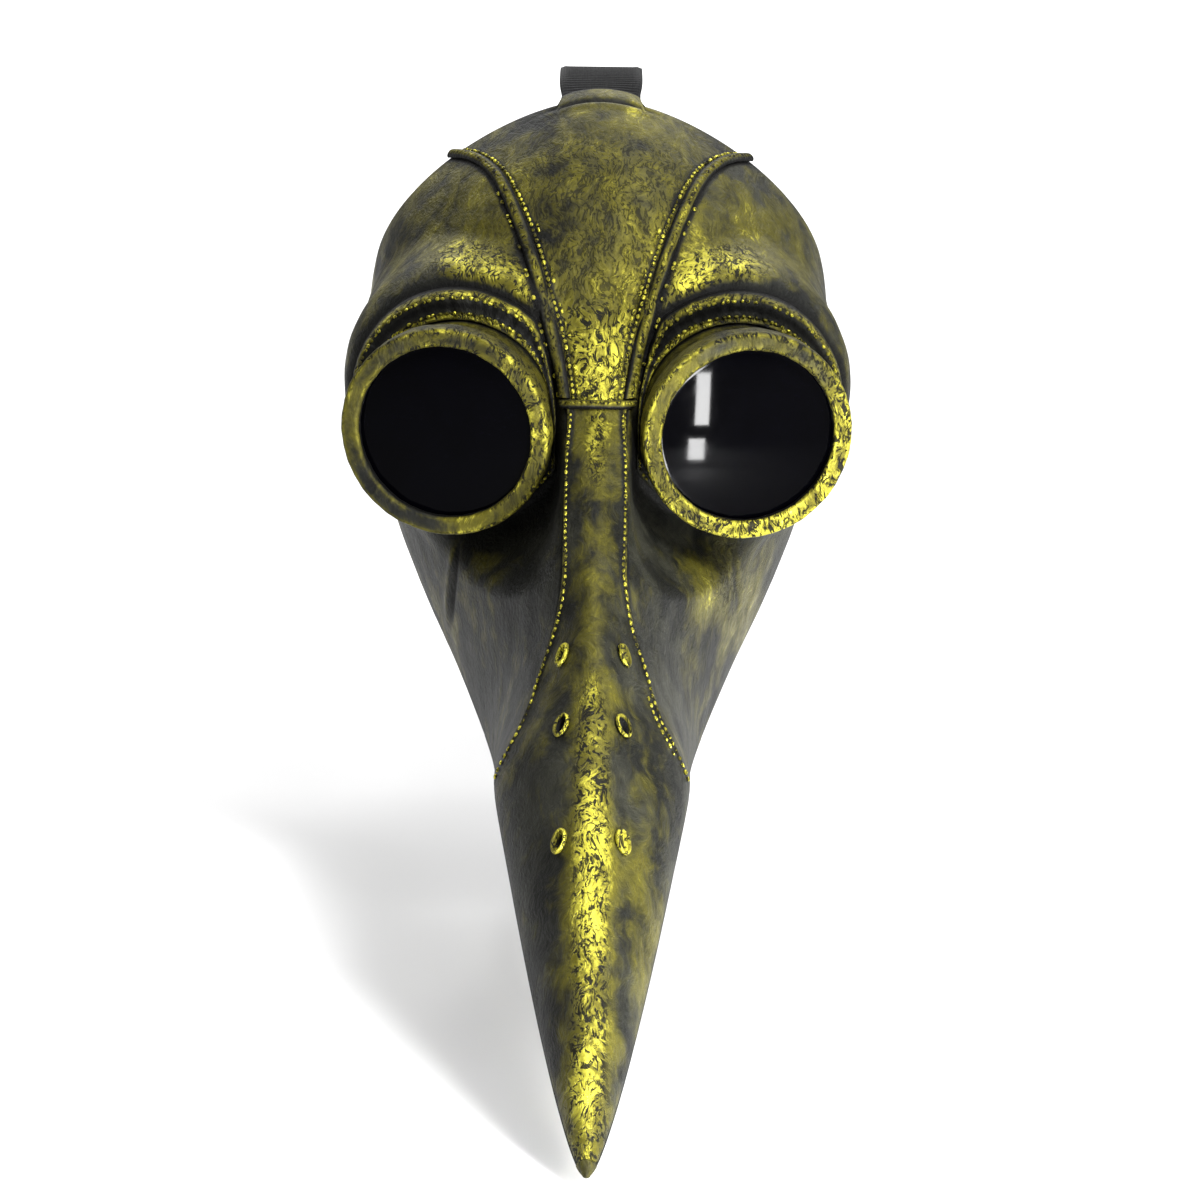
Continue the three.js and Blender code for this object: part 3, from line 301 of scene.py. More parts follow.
def smooth_list(values, t):
    last = len(values) - 1
    i = np.clip(np.floor(t).astype(int), 0, last - 1)
    f = t - i
    a, b, c, d = (values[np.clip(i + k, 0, last)] for k in (-1, 0, 1, 2))
    return b + 0.5 * f * (c - a + f * (2 * a - 5 * b + 4 * c - d + f * (3 * (b - c) + d - a)))


def seam_across(t):
    t = np.asarray(t, float)
    inner = across_to(np.minimum(t, SEAM_FLARE), smooth_list(SEAM_OUT, np.minimum(t, SEAM_FLARE)))
    start = across_to(float(SEAM_FLARE), SEAM_BRIDGE)
    share = np.clip((t - SEAM_FLARE) / (SEAM_END - SEAM_FLARE), 0, 1)
    drift = SEAM_DRIFT * share**SEAM_DRIFT_CURVE
    flared = start + (1 - start) * (drift + (1 - SEAM_DRIFT) * share**SEAM_FLARE_CURVE)
    return np.where(t <= SEAM_FLARE, inner, flared)


def seam_slant(t):
    """How much nearer the seam is than its distance across the skin, where it runs aslant down the beak."""
    t = np.clip(t, SEAM_FLARE, SEAM_END - 0.01)
    u = seam_across(t)
    turn = (seam_across(t + 0.01) - u) / across_length(t, u, 1.0)
    onward = 0.01 / along_length(t, u, 1.0)
    return 1 / np.hypot(1, turn / onward)


# Charcoal latex with a fine leather grain, dry-brushed by hand with dull gold: heavy on the raised places,
# thin over the sides, and missing from the pits, cracks and grooves.
def node(tree, kind, links=(), settings=(), **values):
    """Adds a node with its values, its links as (source, input) and its settings as (input, value)."""
    n = tree.nodes.new(kind)
    for key, value in values.items():
        setattr(n, key, value)
    for source, place in links:
        tree.links.new(source, n.inputs[place])
    for place, value in settings:
        n.inputs[place].default_value = value
    return n


def math_node(tree, operation, *operands):
    n = node(tree, "ShaderNodeMath", operation=operation)
    for place, value in enumerate(operands):
        if isinstance(value, (int, float)):
            n.inputs[place].default_value = value
        else:
            tree.links.new(value, n.inputs[place])
    return n.outputs[0]


def times(tree, a, b):
    return math_node(tree, "MULTIPLY", a, b)


def plus(tree, first, *others):
    for other in others:
        first = math_node(tree, "ADD", first, other)
    return first


def spread(tree, value, low, high, to_low=0.0, to_high=1.0):
    """Values from low to high spread smoothly over to_low to to_high."""
    limits = [("From Min", low), ("From Max", high), ("To Min", to_low), ("To Max", to_high)]
    n = node(tree, "ShaderNodeMapRange", [(value, "Value")], limits, interpolation_type="SMOOTHSTEP")
    return n.outputs["Result"]


def noise(tree, where, scale, detail=3.0, roughness=0.55, distortion=0.0):
    settings = [("Scale", scale), ("Detail", detail), ("Roughness", roughness), ("Distortion", distortion)]
    return node(tree, "ShaderNodeTexNoise", [(where, "Vector")], settings).outputs["Fac"]


def blend_colour(tree, share, a, b):
    n = node(tree, "ShaderNodeMix", [(share, "Factor")], data_type="RGBA")
    for name, value in (("A", a), ("B", b)):
        socket = [s for s in n.inputs if s.name == name and s.type == "RGBA"][0]
        if isinstance(value, tuple):
            socket.default_value = (*value, 1)
        else:
            tree.links.new(value, socket)
    return [s for s in n.outputs if s.type == "RGBA"][0]


def new_material(name):
    """A material with its tree, its shader and the place on the object that its patterns read."""
    material = bpy.data.materials.new(name)
    material.use_nodes = True
    tree = material.node_tree
    where = node(tree, "ShaderNodeTexCoord").outputs["Object"]
    return material, tree, tree.nodes["Principled BSDF"], where


def apply_finish(tree, shader, colour, roughness, height, strength, distance):
    """Joins a material's patterns to its shader, with the height as a bump."""
    bump = node(tree, "ShaderNodeBump", [(height, "Height")], [("Strength", strength), ("Distance", distance)])
    for source, place in ((colour, "Base Color"), (roughness, "Roughness"), (bump.outputs[0], "Normal")):
        tree.links.new(source, shader.inputs[place])


GOLD_BRIGHT = (0.58, 0.53, 0.06)
GOLD_FILM = (0.13, 0.116, 0.014)
CHARCOAL = (0.005, 0.0053, 0.0042)
ASH = (0.052, 0.052, 0.036)
SHADE_AND_MARK_BLACK = (0.0025, 0.0025, 0.0022)


def brushed_latex(name):
    """Charcoal latex under an olive gold film, with bright gold rubbed over it, black in the pits, and painted
    shade in the recesses.
    """
    material, tree, shader, where = new_material(name)
    gold = node(tree, "ShaderNodeAttribute", attribute_name="gold").outputs["Fac"]
    recess = node(tree, "ShaderNodeAttribute", attribute_name="recess").outputs["Fac"]
    # Everything wanders a little, so that no pattern lies in straight rows.
    warp = node(tree, "ShaderNodeTexNoise", [(where, "Vector")], [("Scale", 70)]).outputs["Color"]
    reach = [(1, (0.012, 0.012, 0.012))]
    warped = node(tree, "ShaderNodeVectorMath", [(warp, 0), (where, 2)], reach, operation="MULTIPLY_ADD")
    wandering = warped.outputs[0]
    # The brush was drawn down the mask, so the finer marks are longer than they are wide.
    drawn = node(tree, "ShaderNodeMapping", [(wandering, "Vector")], [("Scale", (1, 0.6, 0.45))])
    strokes = drawn.outputs[0]
    patches = math_node(tree, "SUBTRACT", noise(tree, where, 30, 4, 0.6), 0.5)
    mottle = math_node(tree, "SUBTRACT", noise(tree, strokes, 170, 5, 0.65), 0.5)
    grit = math_node(tree, "SUBTRACT", noise(tree, strokes, 900, 4, 0.7), 0.5)
    amount = plus(tree, gold, times(tree, patches, 1.5), times(tree, mottle, 1.3))
    amount = math_node(tree, "SUBTRACT", amount, times(tree, recess, 0.9))
    film = spread(tree, amount, 0.02, 0.72)
    bright = spread(tree, plus(tree, amount, times(tree, grit, 1.1)), 0.58, 1.12)
    # Pits and short scratches where the paint is thick.
    pits = noise(tree, strokes, 820, 3, 0.62, 0.8)
    cells = node(tree, "ShaderNodeTexVoronoi", [(strokes, "Vector")], [("Scale", 620)],
                 feature="DISTANCE_TO_EDGE")
    scratches = spread(tree, cells.outputs["Distance"], 0.02, 0.15, 1.0, 0.0)
    scratched = spread(tree, noise(tree, where, 260, 3, 0.6), 0.5, 0.6)
    marks = math_node(tree, "MAXIMUM", times(tree, scratches, scratched), spread(tree, pits, 0.53, 0.57))
    marks = times(tree, marks, spread(tree, gold, 0.3, 0.6, 0.15, 1.0))
    # A pale bloom lies over the bare latex, more of it on the mask's left: this side difference is painted light
    # on the key lamp's side and painted shade on the right.
    bloom_and_painted_side_light = spread(tree, noise(tree, strokes, 60, 6, 0.7), 0.4, 0.7, 0.0, 0.75)
    across = node(tree, "ShaderNodeSeparateXYZ", [(where, "Vector")]).outputs["X"]
    bloom_and_painted_side_light = times(tree, bloom_and_painted_side_light, spread(tree, across, -0.04, 0.03, 0.35, 1.0))
    colour = blend_colour(tree, bloom_and_painted_side_light, CHARCOAL, ASH)
    colour = blend_colour(tree, times(tree, film, 0.9), colour, GOLD_FILM)
    colour = blend_colour(tree, bright, colour, GOLD_BRIGHT)
    # Painted shade: black where the recess value is high, in seams, grooves, creases and hollows. The pits and
    # scratches are real black marks.
    shade_and_marks = math_node(tree, "MAXIMUM", spread(tree, recess, 0.1, 0.9), times(tree, marks, 0.97))
    colour = blend_colour(tree, shade_and_marks, colour, SHADE_AND_MARK_BLACK)
    metal = math_node(tree, "MAXIMUM", times(tree, film, 0.5), times(tree, bright, 0.85))
    clean = math_node(tree, "SUBTRACT", 1.0, shade_and_marks)
    tree.links.new(times(tree, metal, clean), shader.inputs["Metallic"])
    gloss = plus(tree, spread(tree, metal, 0, 0.85, 0.5, 0.31), times(tree, shade_and_marks, 0.15))
    shader.inputs["Specular IOR Level"].default_value = 0.14
    leather = node(tree, "ShaderNodeTexVoronoi", [(wandering, "Vector")], [("Scale", 640)], feature="F1")
    grain = times(tree, leather.outputs["Distance"], 0.3)
    height = plus(tree, times(tree, grit, 0.9), times(tree, mottle, 1.2), grain, times(tree, marks, -0.55),
                  times(tree, bright, 0.15))
    apply_finish(tree, shader, colour, gloss, height, 0.8, 0.0006)
    return material


def bare_latex(name, colour=(0.014, 0.014, 0.014), roughness=0.62):
    """The unpainted inner face: dull, slightly mottled, with the marks of the mould."""
    material, tree, shader, where = new_material(name)
    mottle = noise(tree, where, 90, 4, 0.6)
    pale = tuple(c * 2.4 for c in colour)
    apply_finish(tree, shader, blend_colour(tree, spread(tree, mottle, 0.35, 0.7), colour, pale),
           spread(tree, mottle, 0.3, 0.7, roughness - 0.08, roughness + 0.08),
           noise(tree, where, 700, 3, 0.6), 0.5, 0.0004)
    return material


LATEX = brushed_latex("brushed_latex")
LATEX_INSIDE = bare_latex("latex_inside")


def mesh_piece(name, points, faces, materials, face_slots=None, attributes=(), smooth=True):
    """A mesh object at the origin, with its attributes on its points."""
    mesh = bpy.data.meshes.new(name)
    mesh.from_pydata([tuple(p) for p in points], [], [tuple(f) for f in faces])
    for material in materials:
        mesh.materials.append(material)
    if face_slots is not None:
        mesh.polygons.foreach_set("material_index", np.asarray(face_slots, np.int32))
    for label, values in attributes:
        mesh.attributes.new(label, "FLOAT", "POINT").data.foreach_set("value", np.asarray(values, np.float32))
    mesh.polygons.foreach_set("use_smooth", np.full(len(mesh.polygons), smooth))
    mesh.update()
    piece = bpy.data.objects.new(name, mesh)
    bpy.context.collection.objects.link(piece)
    return piece


def quads(rows, columns):
    """Quads of a grid of points, row by row."""
    a = (np.arange(rows - 1)[:, None] * columns + np.arange(columns - 1)).ravel()
    return np.stack([a, a + columns, a + columns + 1, a + 1], 1)


def rim_loop(rows, columns):
    """The border of a grid, once round."""
    top = [(0, j) for j in range(columns)]
    right = [(i, columns - 1) for i in range(1, rows)]
    bottom = [(rows - 1, j) for j in range(columns - 2, -1, -1)]
    left = [(i, 0) for i in range(rows - 2, 0, -1)]
    return [i * columns + j for i, j in top + right + bottom + left]


def closed_sheet(name, outer, inner, materials, attributes=()):
    """A wall between two grids of points. Its border band belongs to the outer face."""
    rows, columns = outer.shape[:2]
    count = rows * columns
    loop = np.array(rim_loop(rows, columns))
    ahead = np.roll(loop, -1)
    band = np.stack([loop, ahead, ahead + count, loop + count], 1)
    sheet = quads(rows, columns)
    faces = np.concatenate([sheet, sheet[:, ::-1] + count, band])
    slots = np.zeros(len(faces), np.int32)
    slots[len(sheet):2 * len(sheet)] = len(materials) - 1
    points = np.concatenate([outer.reshape(-1, 3), inner.reshape(-1, 3)])
    doubled = [(label, np.concatenate([v.ravel(), v.ravel()])) for label, v in attributes]
    return mesh_piece(name, points, faces, materials, slots, doubled)


def run_length(line):
    """Length from the first point along a line, or from the first row along each column of a grid."""
    steps = np.linalg.norm(np.diff(line, axis=0), axis=-1)
    return np.concatenate([steps[:1] * 0, np.cumsum(steps, 0)])


def row_lengths(points):
    """Length from the first column along each row."""
    return run_length(points.swapaxes(0, 1)).swapaxes(0, 1)


def rolled(distance, radius):
    """How far a rounded edge has dropped at a distance from it."""
    d = np.clip(distance, 0, radius)
    return -(radius - np.sqrt(np.maximum(radius**2 - (radius - d) ** 2, 0)))


def eased(count, ends=0.35):
    """Places from 0 to 1 that lie closer together at both ends."""
    s = np.linspace(0, 1, count)
    return s * (1 - ends) + ends * (0.5 - 0.5 * np.cos(math.pi * s))


def wall_depth(t):
    return -np.minimum(SHELL, 0.42 * station_values(t)[4])


COLLAR_RADIUS = CUP_RADIUS + 0.0066
COLLAR_LIFT = 0.0034
DART_START, DART_END = 7.5, 8.8
HUMP_SEEDS = np.random.default_rng(7).uniform(0, 2 * math.pi, (3, 8, 2))


def hand_made(p):
    """The slow unevenness of a hand-made mould, from a few crossing waves, a third of a millimetre high."""
    total = np.zeros(p.shape[:-1])
    for axis in range(3):
        for k in range(8):
            length = 0.011 + 0.004 * k
            turn = HUMP_SEEDS[axis, k]
            drift = 3 * np.sin(p[..., (axis + 1) % 3] * 90 + turn[1])
            total += np.sin(2 * math.pi * p[..., axis] / length + turn[0] + drift)
    return total * 0.00003


def brow(p):
    """The brow stands up round the eyepiece's collar, with a groove between them."""
    right, up, _ = eye_place(p)
    away = np.hypot(right, up - COLLAR_LIFT) - COLLAR_RADIUS
    above = ramp(up, -0.012, 0.022)
    beside = ramp(np.abs(p[..., 0]), SEAM_BRIDGE + 0.001, SEAM_BRIDGE + 0.006)
    ridge = np.exp(-(((away - 0.0045) / 0.0034) ** 2)) * 0.0021 * above
    groove = -np.exp(-(((away - 0.0004) / 0.0012) ** 2)) * 0.0011 * (0.35 + 0.65 * above)
    return (ridge + groove) * beside, away, above * beside


def dart(p, t):
    """A short crease down the cheek, where the moulded form was pinched: a groove with a ridge beside it, and its
    depth for painted shade in the groove.
    """
    centre = 0.0443 + 0.0027 * (t - DART_START)
    beside = np.abs(p[..., 0]) - centre
    length = ramp(t, DART_START, DART_START + 0.35) * (1 - ramp(t, DART_END - 0.4, DART_END))
    length = length * np.where(p[..., 0] < 0, 1.0, 0.3)
    groove = np.exp(-((beside / 0.0008) ** 2))
    ridge = np.exp(-(((beside - 0.0018) / 0.0013) ** 2))
    return (-0.0009 * groove + 0.0007 * ridge) * length, groove * length


def tongue_crease(p, t):
    """The fold across the forehead's top, where the tongue over the strap begins, and its depth for painted shade
    in the fold.
    """
    middle = EDGE_STATION + 0.04 + 0.22 * (p[..., 0] / 0.03) ** 2
    length = np.exp(-((p[..., 0] / 0.017) ** 4))
    fold = np.exp(-(((t - middle) / 0.035) ** 2)) * length
    roll = np.exp(-(((t - middle - 0.09) / 0.05) ** 2)) * length
    return -0.0009 * fold + 0.0006 * roll, 0.8 * fold


def gold_share(p, t):
    """How heavily the gold was brushed at a place on the skin, with more on the mask's left as painted light on
    the key lamp's side.
    """
    x = np.abs(p[..., 0])
    # Painted light: the terms that use left, and the flank term, put more gold on the mask's left, the lamp side.
    left = ramp(p[..., 0], -0.01, 0.02)
    crest = np.exp(-((x / 0.0068) ** 2)) * (0.26 * ramp(t, 5.2, 8) + 0.74 * ramp(t, 10.2, 12.8))
    gold = 0.86 * crest
    bridge = np.exp(-((x / 0.0055) ** 2)) * ramp(t, 4.6, 5.2) * (1 - ramp(t, 6.0, 7.5))
    gold = np.maximum(gold, 0.62 * bridge)
    forehead = ramp(t, 2.4, 4.2) * (1 - ramp(t, 4.95, 5.1)) * np.exp(-((x / 0.026) ** 4))
    gold = np.maximum(gold, 0.74 * forehead)
    upper = ramp(t, 0.8, 1.9) * (1 - ramp(t, 4.9, 5.1))
    gold = np.maximum(gold, 0.48 * upper * np.exp(-((x / 0.052) ** 4)))
    _, away, above = brow(p)
    inward = np.exp(-(((x - 0.032) / 0.022) ** 4))
    gold = np.maximum(gold, (0.22 + 0.6 * inward) * np.exp(-(((away - 0.0055) / 0.0065) ** 2)) * above)
    cheek = np.exp(-(((x - 0.042) / 0.016) ** 2)) * ramp(t, 6.0, 7.0) * (1 - ramp(t, 8.4, 9.6))
    gold = np.maximum(gold, (0.2 + 0.26 * left) * cheek)
    flank = ramp(t, 10.5, 13) * ramp(p[..., 0], 0.004, 0.012)
    gold = np.maximum(gold, 0.16 * flank)
    face = 1 - ramp(t, 5.5, 7.5)
    return np.maximum(gold, 0.04 + 0.2 * face + 0.07 * left)


def skin_panel(name, t, u, edges, roll=0.0011, flap=0.0, groove=False, stitched=0.0):
    """A panel over grids of t and u. edges says which sides are free or sewn: left, right, top, bottom."""
    base = skin(t, u)
    normal = skin_normal(t, u)
    lengths = row_lengths(base)
    aslant = np.where((t > SEAM_FLARE) & (t < SEAM_END), seam_slant(t), 1)
    left, right = lengths * aslant, (lengths[:, -1:] - lengths) * aslant
    down = run_length(base)
    top, bottom = down, down[-1:] - down
    nearest = np.full(t.shape, 1.0)
    for distance, on in zip((left, right, top, bottom), edges):
        if on:
            nearest = np.minimum(nearest, distance)
    lift, away, _ = brow(base)
    beside_seam = np.minimum(left, right)
    fold = flap * np.exp(-(((beside_seam - 0.0007) / 0.0013) ** 2)) * (1 - ramp(t, SEAM_END - 0.3, SEAM_END))
    crease, crease_depth = dart(base, t)
    under_tongue, under_depth = tongue_crease(base, t)
    crease, crease_depth = crease + under_tongue, np.maximum(crease_depth, under_depth)
    relief = lift + fold + crease + hand_made(base) * ramp(nearest, 0.001, 0.006) + rolled(nearest, roll)
    outer = base + normal * relief[..., None]
    inner = base + normal * (wall_depth(t) - 0.6 * rolled(nearest, 0.0005))[..., None]
    # Painted shade: the recess value blackens the skin along the panel edges, in a band beside the seam where
    # groove is set, along the stitch row, round the collar's edge, in the creases and under the collar, and keeps
    # the gold off these places.
    recess = 0.9 * np.exp(-((nearest / 0.0008) ** 2))
    if groove:
        along_face = 1 - ramp(t, BRIDGE_STATION - 0.1, BRIDGE_STATION + 0.1)
        seam_side = left if base[0, 0, 0] * (base[0, -1, 0] - base[0, 0, 0]) > 0 else right
        recess = np.maximum(recess, 0.95 * np.exp(-((seam_side / 0.0037) ** 6)) * along_face)
    if stitched:
        recess = np.maximum(recess, 0.55 * np.exp(-(((beside_seam - stitched) / 0.0011) ** 2)) * (t < SEAM_END))
    shadow_line = 0.95 * np.exp(-(((away - 0.0003) / 0.0013) ** 2))
    recess = np.maximum(recess, shadow_line * ramp(np.abs(base[..., 0]), 0.008, 0.014))
    # Painted shadow below each eyepiece, close round its collar.
    _, up, _ = eye_place(base)
    below = 1 - ramp(up, -0.012, 0.022)
    under_eye_shadow = 0.8 * np.exp(-((np.clip(away, 0, 1) / 0.009) ** 2)) * below
    recess = np.maximum(recess, under_eye_shadow * ramp(np.abs(base[..., 0]), 0.0085, 0.0125))
    recess = np.maximum(recess, 0.9 * crease_depth)
    hidden = 1 - ramp(away, -0.004, -0.001)
    recess = np.maximum(recess, hidden * ramp(np.abs(base[..., 0]), 0.010, 0.016))
    gold = np.maximum(gold_share(base, t), 0.75 * fold / max(flap, 1e-9))
    return closed_sheet(name, outer, inner, [LATEX, LATEX_INSIDE], [("gold", gold), ("recess", recess)])


# ---- Forehead panel ----
# The middle panel runs from the top edge down to the nose bridge between the two welted seams. A rounded
# tongue at the top covers the end of the strap.
TAB_HALF_WIDTH = 0.014
TAB_LENGTH = 0.008
TAB_FADE = 0.5
TONGUE_END = EDGE_STATION - float(along_length(np.float64(EDGE_STATION), 0.0, TAB_LENGTH))


def finished(piece, slot_name, *nodes, body="mask"):
    """Rides a finished piece on its body, in place of its plain nodes."""
    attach(piece, body)
    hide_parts(*nodes)
    return piece


def forehead_grid(rows=150, columns=130):
    end = BRIDGE_STATION - along_length(np.float64(BRIDGE_STATION), 0.0, GAP / 2)
    t = EDGE_STATION + (end - EDGE_STATION) * eased(rows)[:, None] + np.zeros((1, columns))
    edge = seam_across(t[:, 0])
    edge = edge - across_length(t[:, 0], edge, GAP / 2)
    u = edge[:, None] * (2 * eased(columns)[None] - 1)
    x = skin(t, u)[..., 0]
    in_tab = np.maximum(0, 1 - (x / TAB_HALF_WIDTH) ** 4) ** 0.25
    fade = np.clip(EDGE_STATION + TAB_FADE - t, 0, TAB_FADE) / TAB_FADE
    return t - (EDGE_STATION - TONGUE_END) * in_tab * fade, u


forehead = skin_panel("forehead", *forehead_grid(), (True, True, True, True), stitched=0.0034)
finished(forehead, "latex", "forehead_panel")

# ---- Temple and cheek panels ----
# Each side panel goes from the forehead seam round to the open rear edge and down to the jaw, with a round
# hole for the eyepiece tube.
def side_grid(side, rows=330, columns=120):
    t = EDGE_STATION + (SEAM_END - 0.015 - EDGE_STATION) * eased(rows, 0.15)[:, None] + np.zeros((1, columns))
    edge = seam_across(t[:, 0])
    edge = edge + across_length(t[:, 0], edge, GAP / 2)
    outer = 1 - np.where(t[:, 0] > CHIN_STATION, across_length(t[:, 0], 1.0, GAP / 2), 0)
    v = eased(columns)
    u = edge[:, None] + (outer - edge)[:, None] * v[None]
    return (t, side * u) if side > 0 else (t[:, ::-1], side * u[:, ::-1])


def eye_matrix(side):
    m = Matrix.Identity(4)
    m.col[0][:3] = (EYE_RIGHTWARD[0], side * EYE_RIGHTWARD[1], side * EYE_RIGHTWARD[2])
    m.col[1][:3] = (side * EYE_UPWARD[0], EYE_UPWARD[1], EYE_UPWARD[2])
    m.col[2][:3] = (side * EYE_AXIS[0], EYE_AXIS[1], EYE_AXIS[2])
    m.translation = (side * EYE_SEAT[0], EYE_SEAT[1], EYE_SEAT[2])
    return m


def turned_points(profile, count, matrix):
    """Points and quads of a closed profile of (radius, height) turned round the matrix's Z."""
    angles = np.linspace(0, 2 * math.pi, count, endpoint=False)
    r = np.array([p[0] for p in profile])
    z = np.array([p[1] for p in profile])
    grid = np.stack([np.outer(np.cos(angles), r), np.outer(np.sin(angles), r), np.tile(z, (count, 1))], -1)
    m = np.array(matrix)
    points = grid.reshape(-1, 3) @ m[:3, :3].T + m[:3, 3]
    k = len(profile)
    faces = []
    for i in range(count):
        for j in range(k):
            a, b = i * k + j, i * k + (j + 1) % k
            c, d = ((i + 1) % count) * k + (j + 1) % k, ((i + 1) % count) * k + j
            faces.append((a, d, c, b))
    return points, np.array(faces)


def cut_by(piece, cutter):
    """Cuts one closed mesh out of another, and removes the cutter."""
    modifier = piece.modifiers.new("cut", "BOOLEAN")
    modifier.object = cutter
    modifier.operation = "DIFFERENCE"
    modifier.solver = "EXACT"
    bpy.context.view_layer.update()
    graph = bpy.context.evaluated_depsgraph_get()
    mesh = bpy.data.meshes.new_from_object(piece.evaluated_get(graph))
    piece.modifiers.clear()
    piece.data = mesh
    bpy.data.objects.remove(cutter)


def mend_normals(piece):
    """Turns a closed mesh's faces outwards."""
    work = bmesh.new()
    work.from_mesh(piece.data)
    bmesh.ops.remove_doubles(work, verts=work.verts, dist=1e-7)
    bmesh.ops.recalc_face_normals(work, faces=work.faces)
    work.to_mesh(piece.data)
    work.free()


def plug(name, radius, back, front, matrix, count=160):
    """A closed cylinder, used to cut a round hole."""
    points, faces = turned_points([(1e-6, back), (radius, back), (radius, front), (1e-6, front)], count, matrix)
    piece = mesh_piece(name, points, faces, [LATEX])
    mend_normals(piece)
    return piece


skin_trees = {}
for label, side in (("left", 1), ("right", -1)):
    panel = skin_panel(f"cheek_{label}", *side_grid(side), (True, True, True, True), groove=True)
    mesh = panel.data
    skin_trees[side] = BVHTree.FromPolygons([v.co for v in mesh.vertices], [p.vertices for p in mesh.polygons])
    cut_by(panel, plug("hole", CUP_RADIUS + GAP, -0.06, 0.06, eye_matrix(side)))
    finished(panel, "latex", f"side_panel_{label}")

# ---- Beak ----
# The upper half is one long panel from the nose bridge to the tip, with three pairs of vent holes. Its edges
# lie over the cheek panels as a thin flap as far as the jaw. The underside and the solid tip are glued to it.
VENT_OFFSET = 0.0087
VENT_SHARES = {"upper": 0.375, "middle": 0.475, "lower": 0.62}
VENT_HALF_WIDTH = 0.0010
VENT_HALF_LENGTH = 0.0023
VENT_TILT = math.radians(22)
VENT_BARREL = 0.0007


def share_to_station(share):
    shares = STATIONS[:, 8]
    after = int(np.argmax(shares > share))
    return after - 1 + (share - shares[after - 1]) / (shares[after] - shares[after - 1])


def vent_matrix(share, side):
    t = share_to_station(share)
    u = side * across_to(t, VENT_OFFSET)
    z = Vector(skin_normal(t, u))
    up = Vector(skin(t - 0.01, u) - skin(t + 0.01, u))
    x = up.cross(z).normalized()
    y = z.cross(x)
    m = Matrix((x, y, z)).transposed().to_4x4()
    m.translation = Vector(skin(t, u))
    return m @ Matrix.Rotation(side * VENT_TILT, 4, "Z")


def oval_points(profile, matrix, count=48):
    """Points and quads of a closed profile of (distance outside the vent's hole, height), swept round it."""
    points, faces = [], []
    k = len(profile)
    for i in range(count):
        a = 2 * math.pi * i / count
        for out, z in profile:
            place = Vector(((VENT_HALF_WIDTH + out) * math.cos(a), (VENT_HALF_LENGTH + out) * math.sin(a), z))
            points.append(matrix @ place)
        for j in range(k):
            b, c = i * k + (j + 1) % k, ((i + 1) % count) * k + (j + 1) % k
            faces.append((i * k + j, ((i + 1) % count) * k + j, c, b))
    return points, faces


def beak_grid(rows=400, columns=108):
    start = BRIDGE_STATION + along_length(np.float64(BRIDGE_STATION), 0.0, GAP / 2)
    t = start + (TIP_CUT - start) * np.linspace(0, 1, rows)[:, None] + np.zeros((1, columns))
    seam = seam_across(t[:, 0])
    seam = seam - across_length(t[:, 0], seam, GAP / 2)
    flank = 1 - np.where(t[:, 0] > CHIN_STATION, across_length(t[:, 0], 1.0, GAP), 0)
    edge = np.minimum(seam, flank)
    return t, edge[:, None] * (2 * eased(columns, 0.25)[None] - 1)


beak = skin_panel("beak_upper", *beak_grid(), (True, True, True, False), roll=0.0007, flap=0.0007,
                  stitched=0.0019)
vents = {(row, side): vent_matrix(share, side) for row, share in VENT_SHARES.items() for side in (1, -1)}
hole_points, hole_faces = [], []
for matrix in vents.values():
    clear = VENT_BARREL + GAP
    points, faces = oval_points([(-VENT_HALF_WIDTH * 0.98, -0.007), (clear, -0.007), (clear, 0.007),
                                 (-VENT_HALF_WIDTH * 0.98, 0.007)], matrix)
    hole_faces += [tuple(i + len(hole_points) for i in face) for face in faces]
    hole_points += points
vent_cutter = mesh_piece("vent_holes", hole_points, hole_faces, [LATEX])
mend_normals(vent_cutter)
cut_by(beak, vent_cutter)
finished(beak, "latex", "beak_top")


def underside_grid(rows=300, columns=60):
    t = CHIN_STATION + (TIP_CUT - CHIN_STATION) * np.linspace(0, 1, rows)[:, None] + np.zeros((1, columns))
    edge = 1 + across_length(t[:, 0], 1.0, GAP)
    v = eased(columns)
    return t, edge[:, None] + (4 - 2 * edge)[:, None] * v[None]


underside = skin_panel("beak_underside", *underside_grid(), (True, True, True, False), roll=0.0007)
finished(underside, "latex", "beak_bottom")


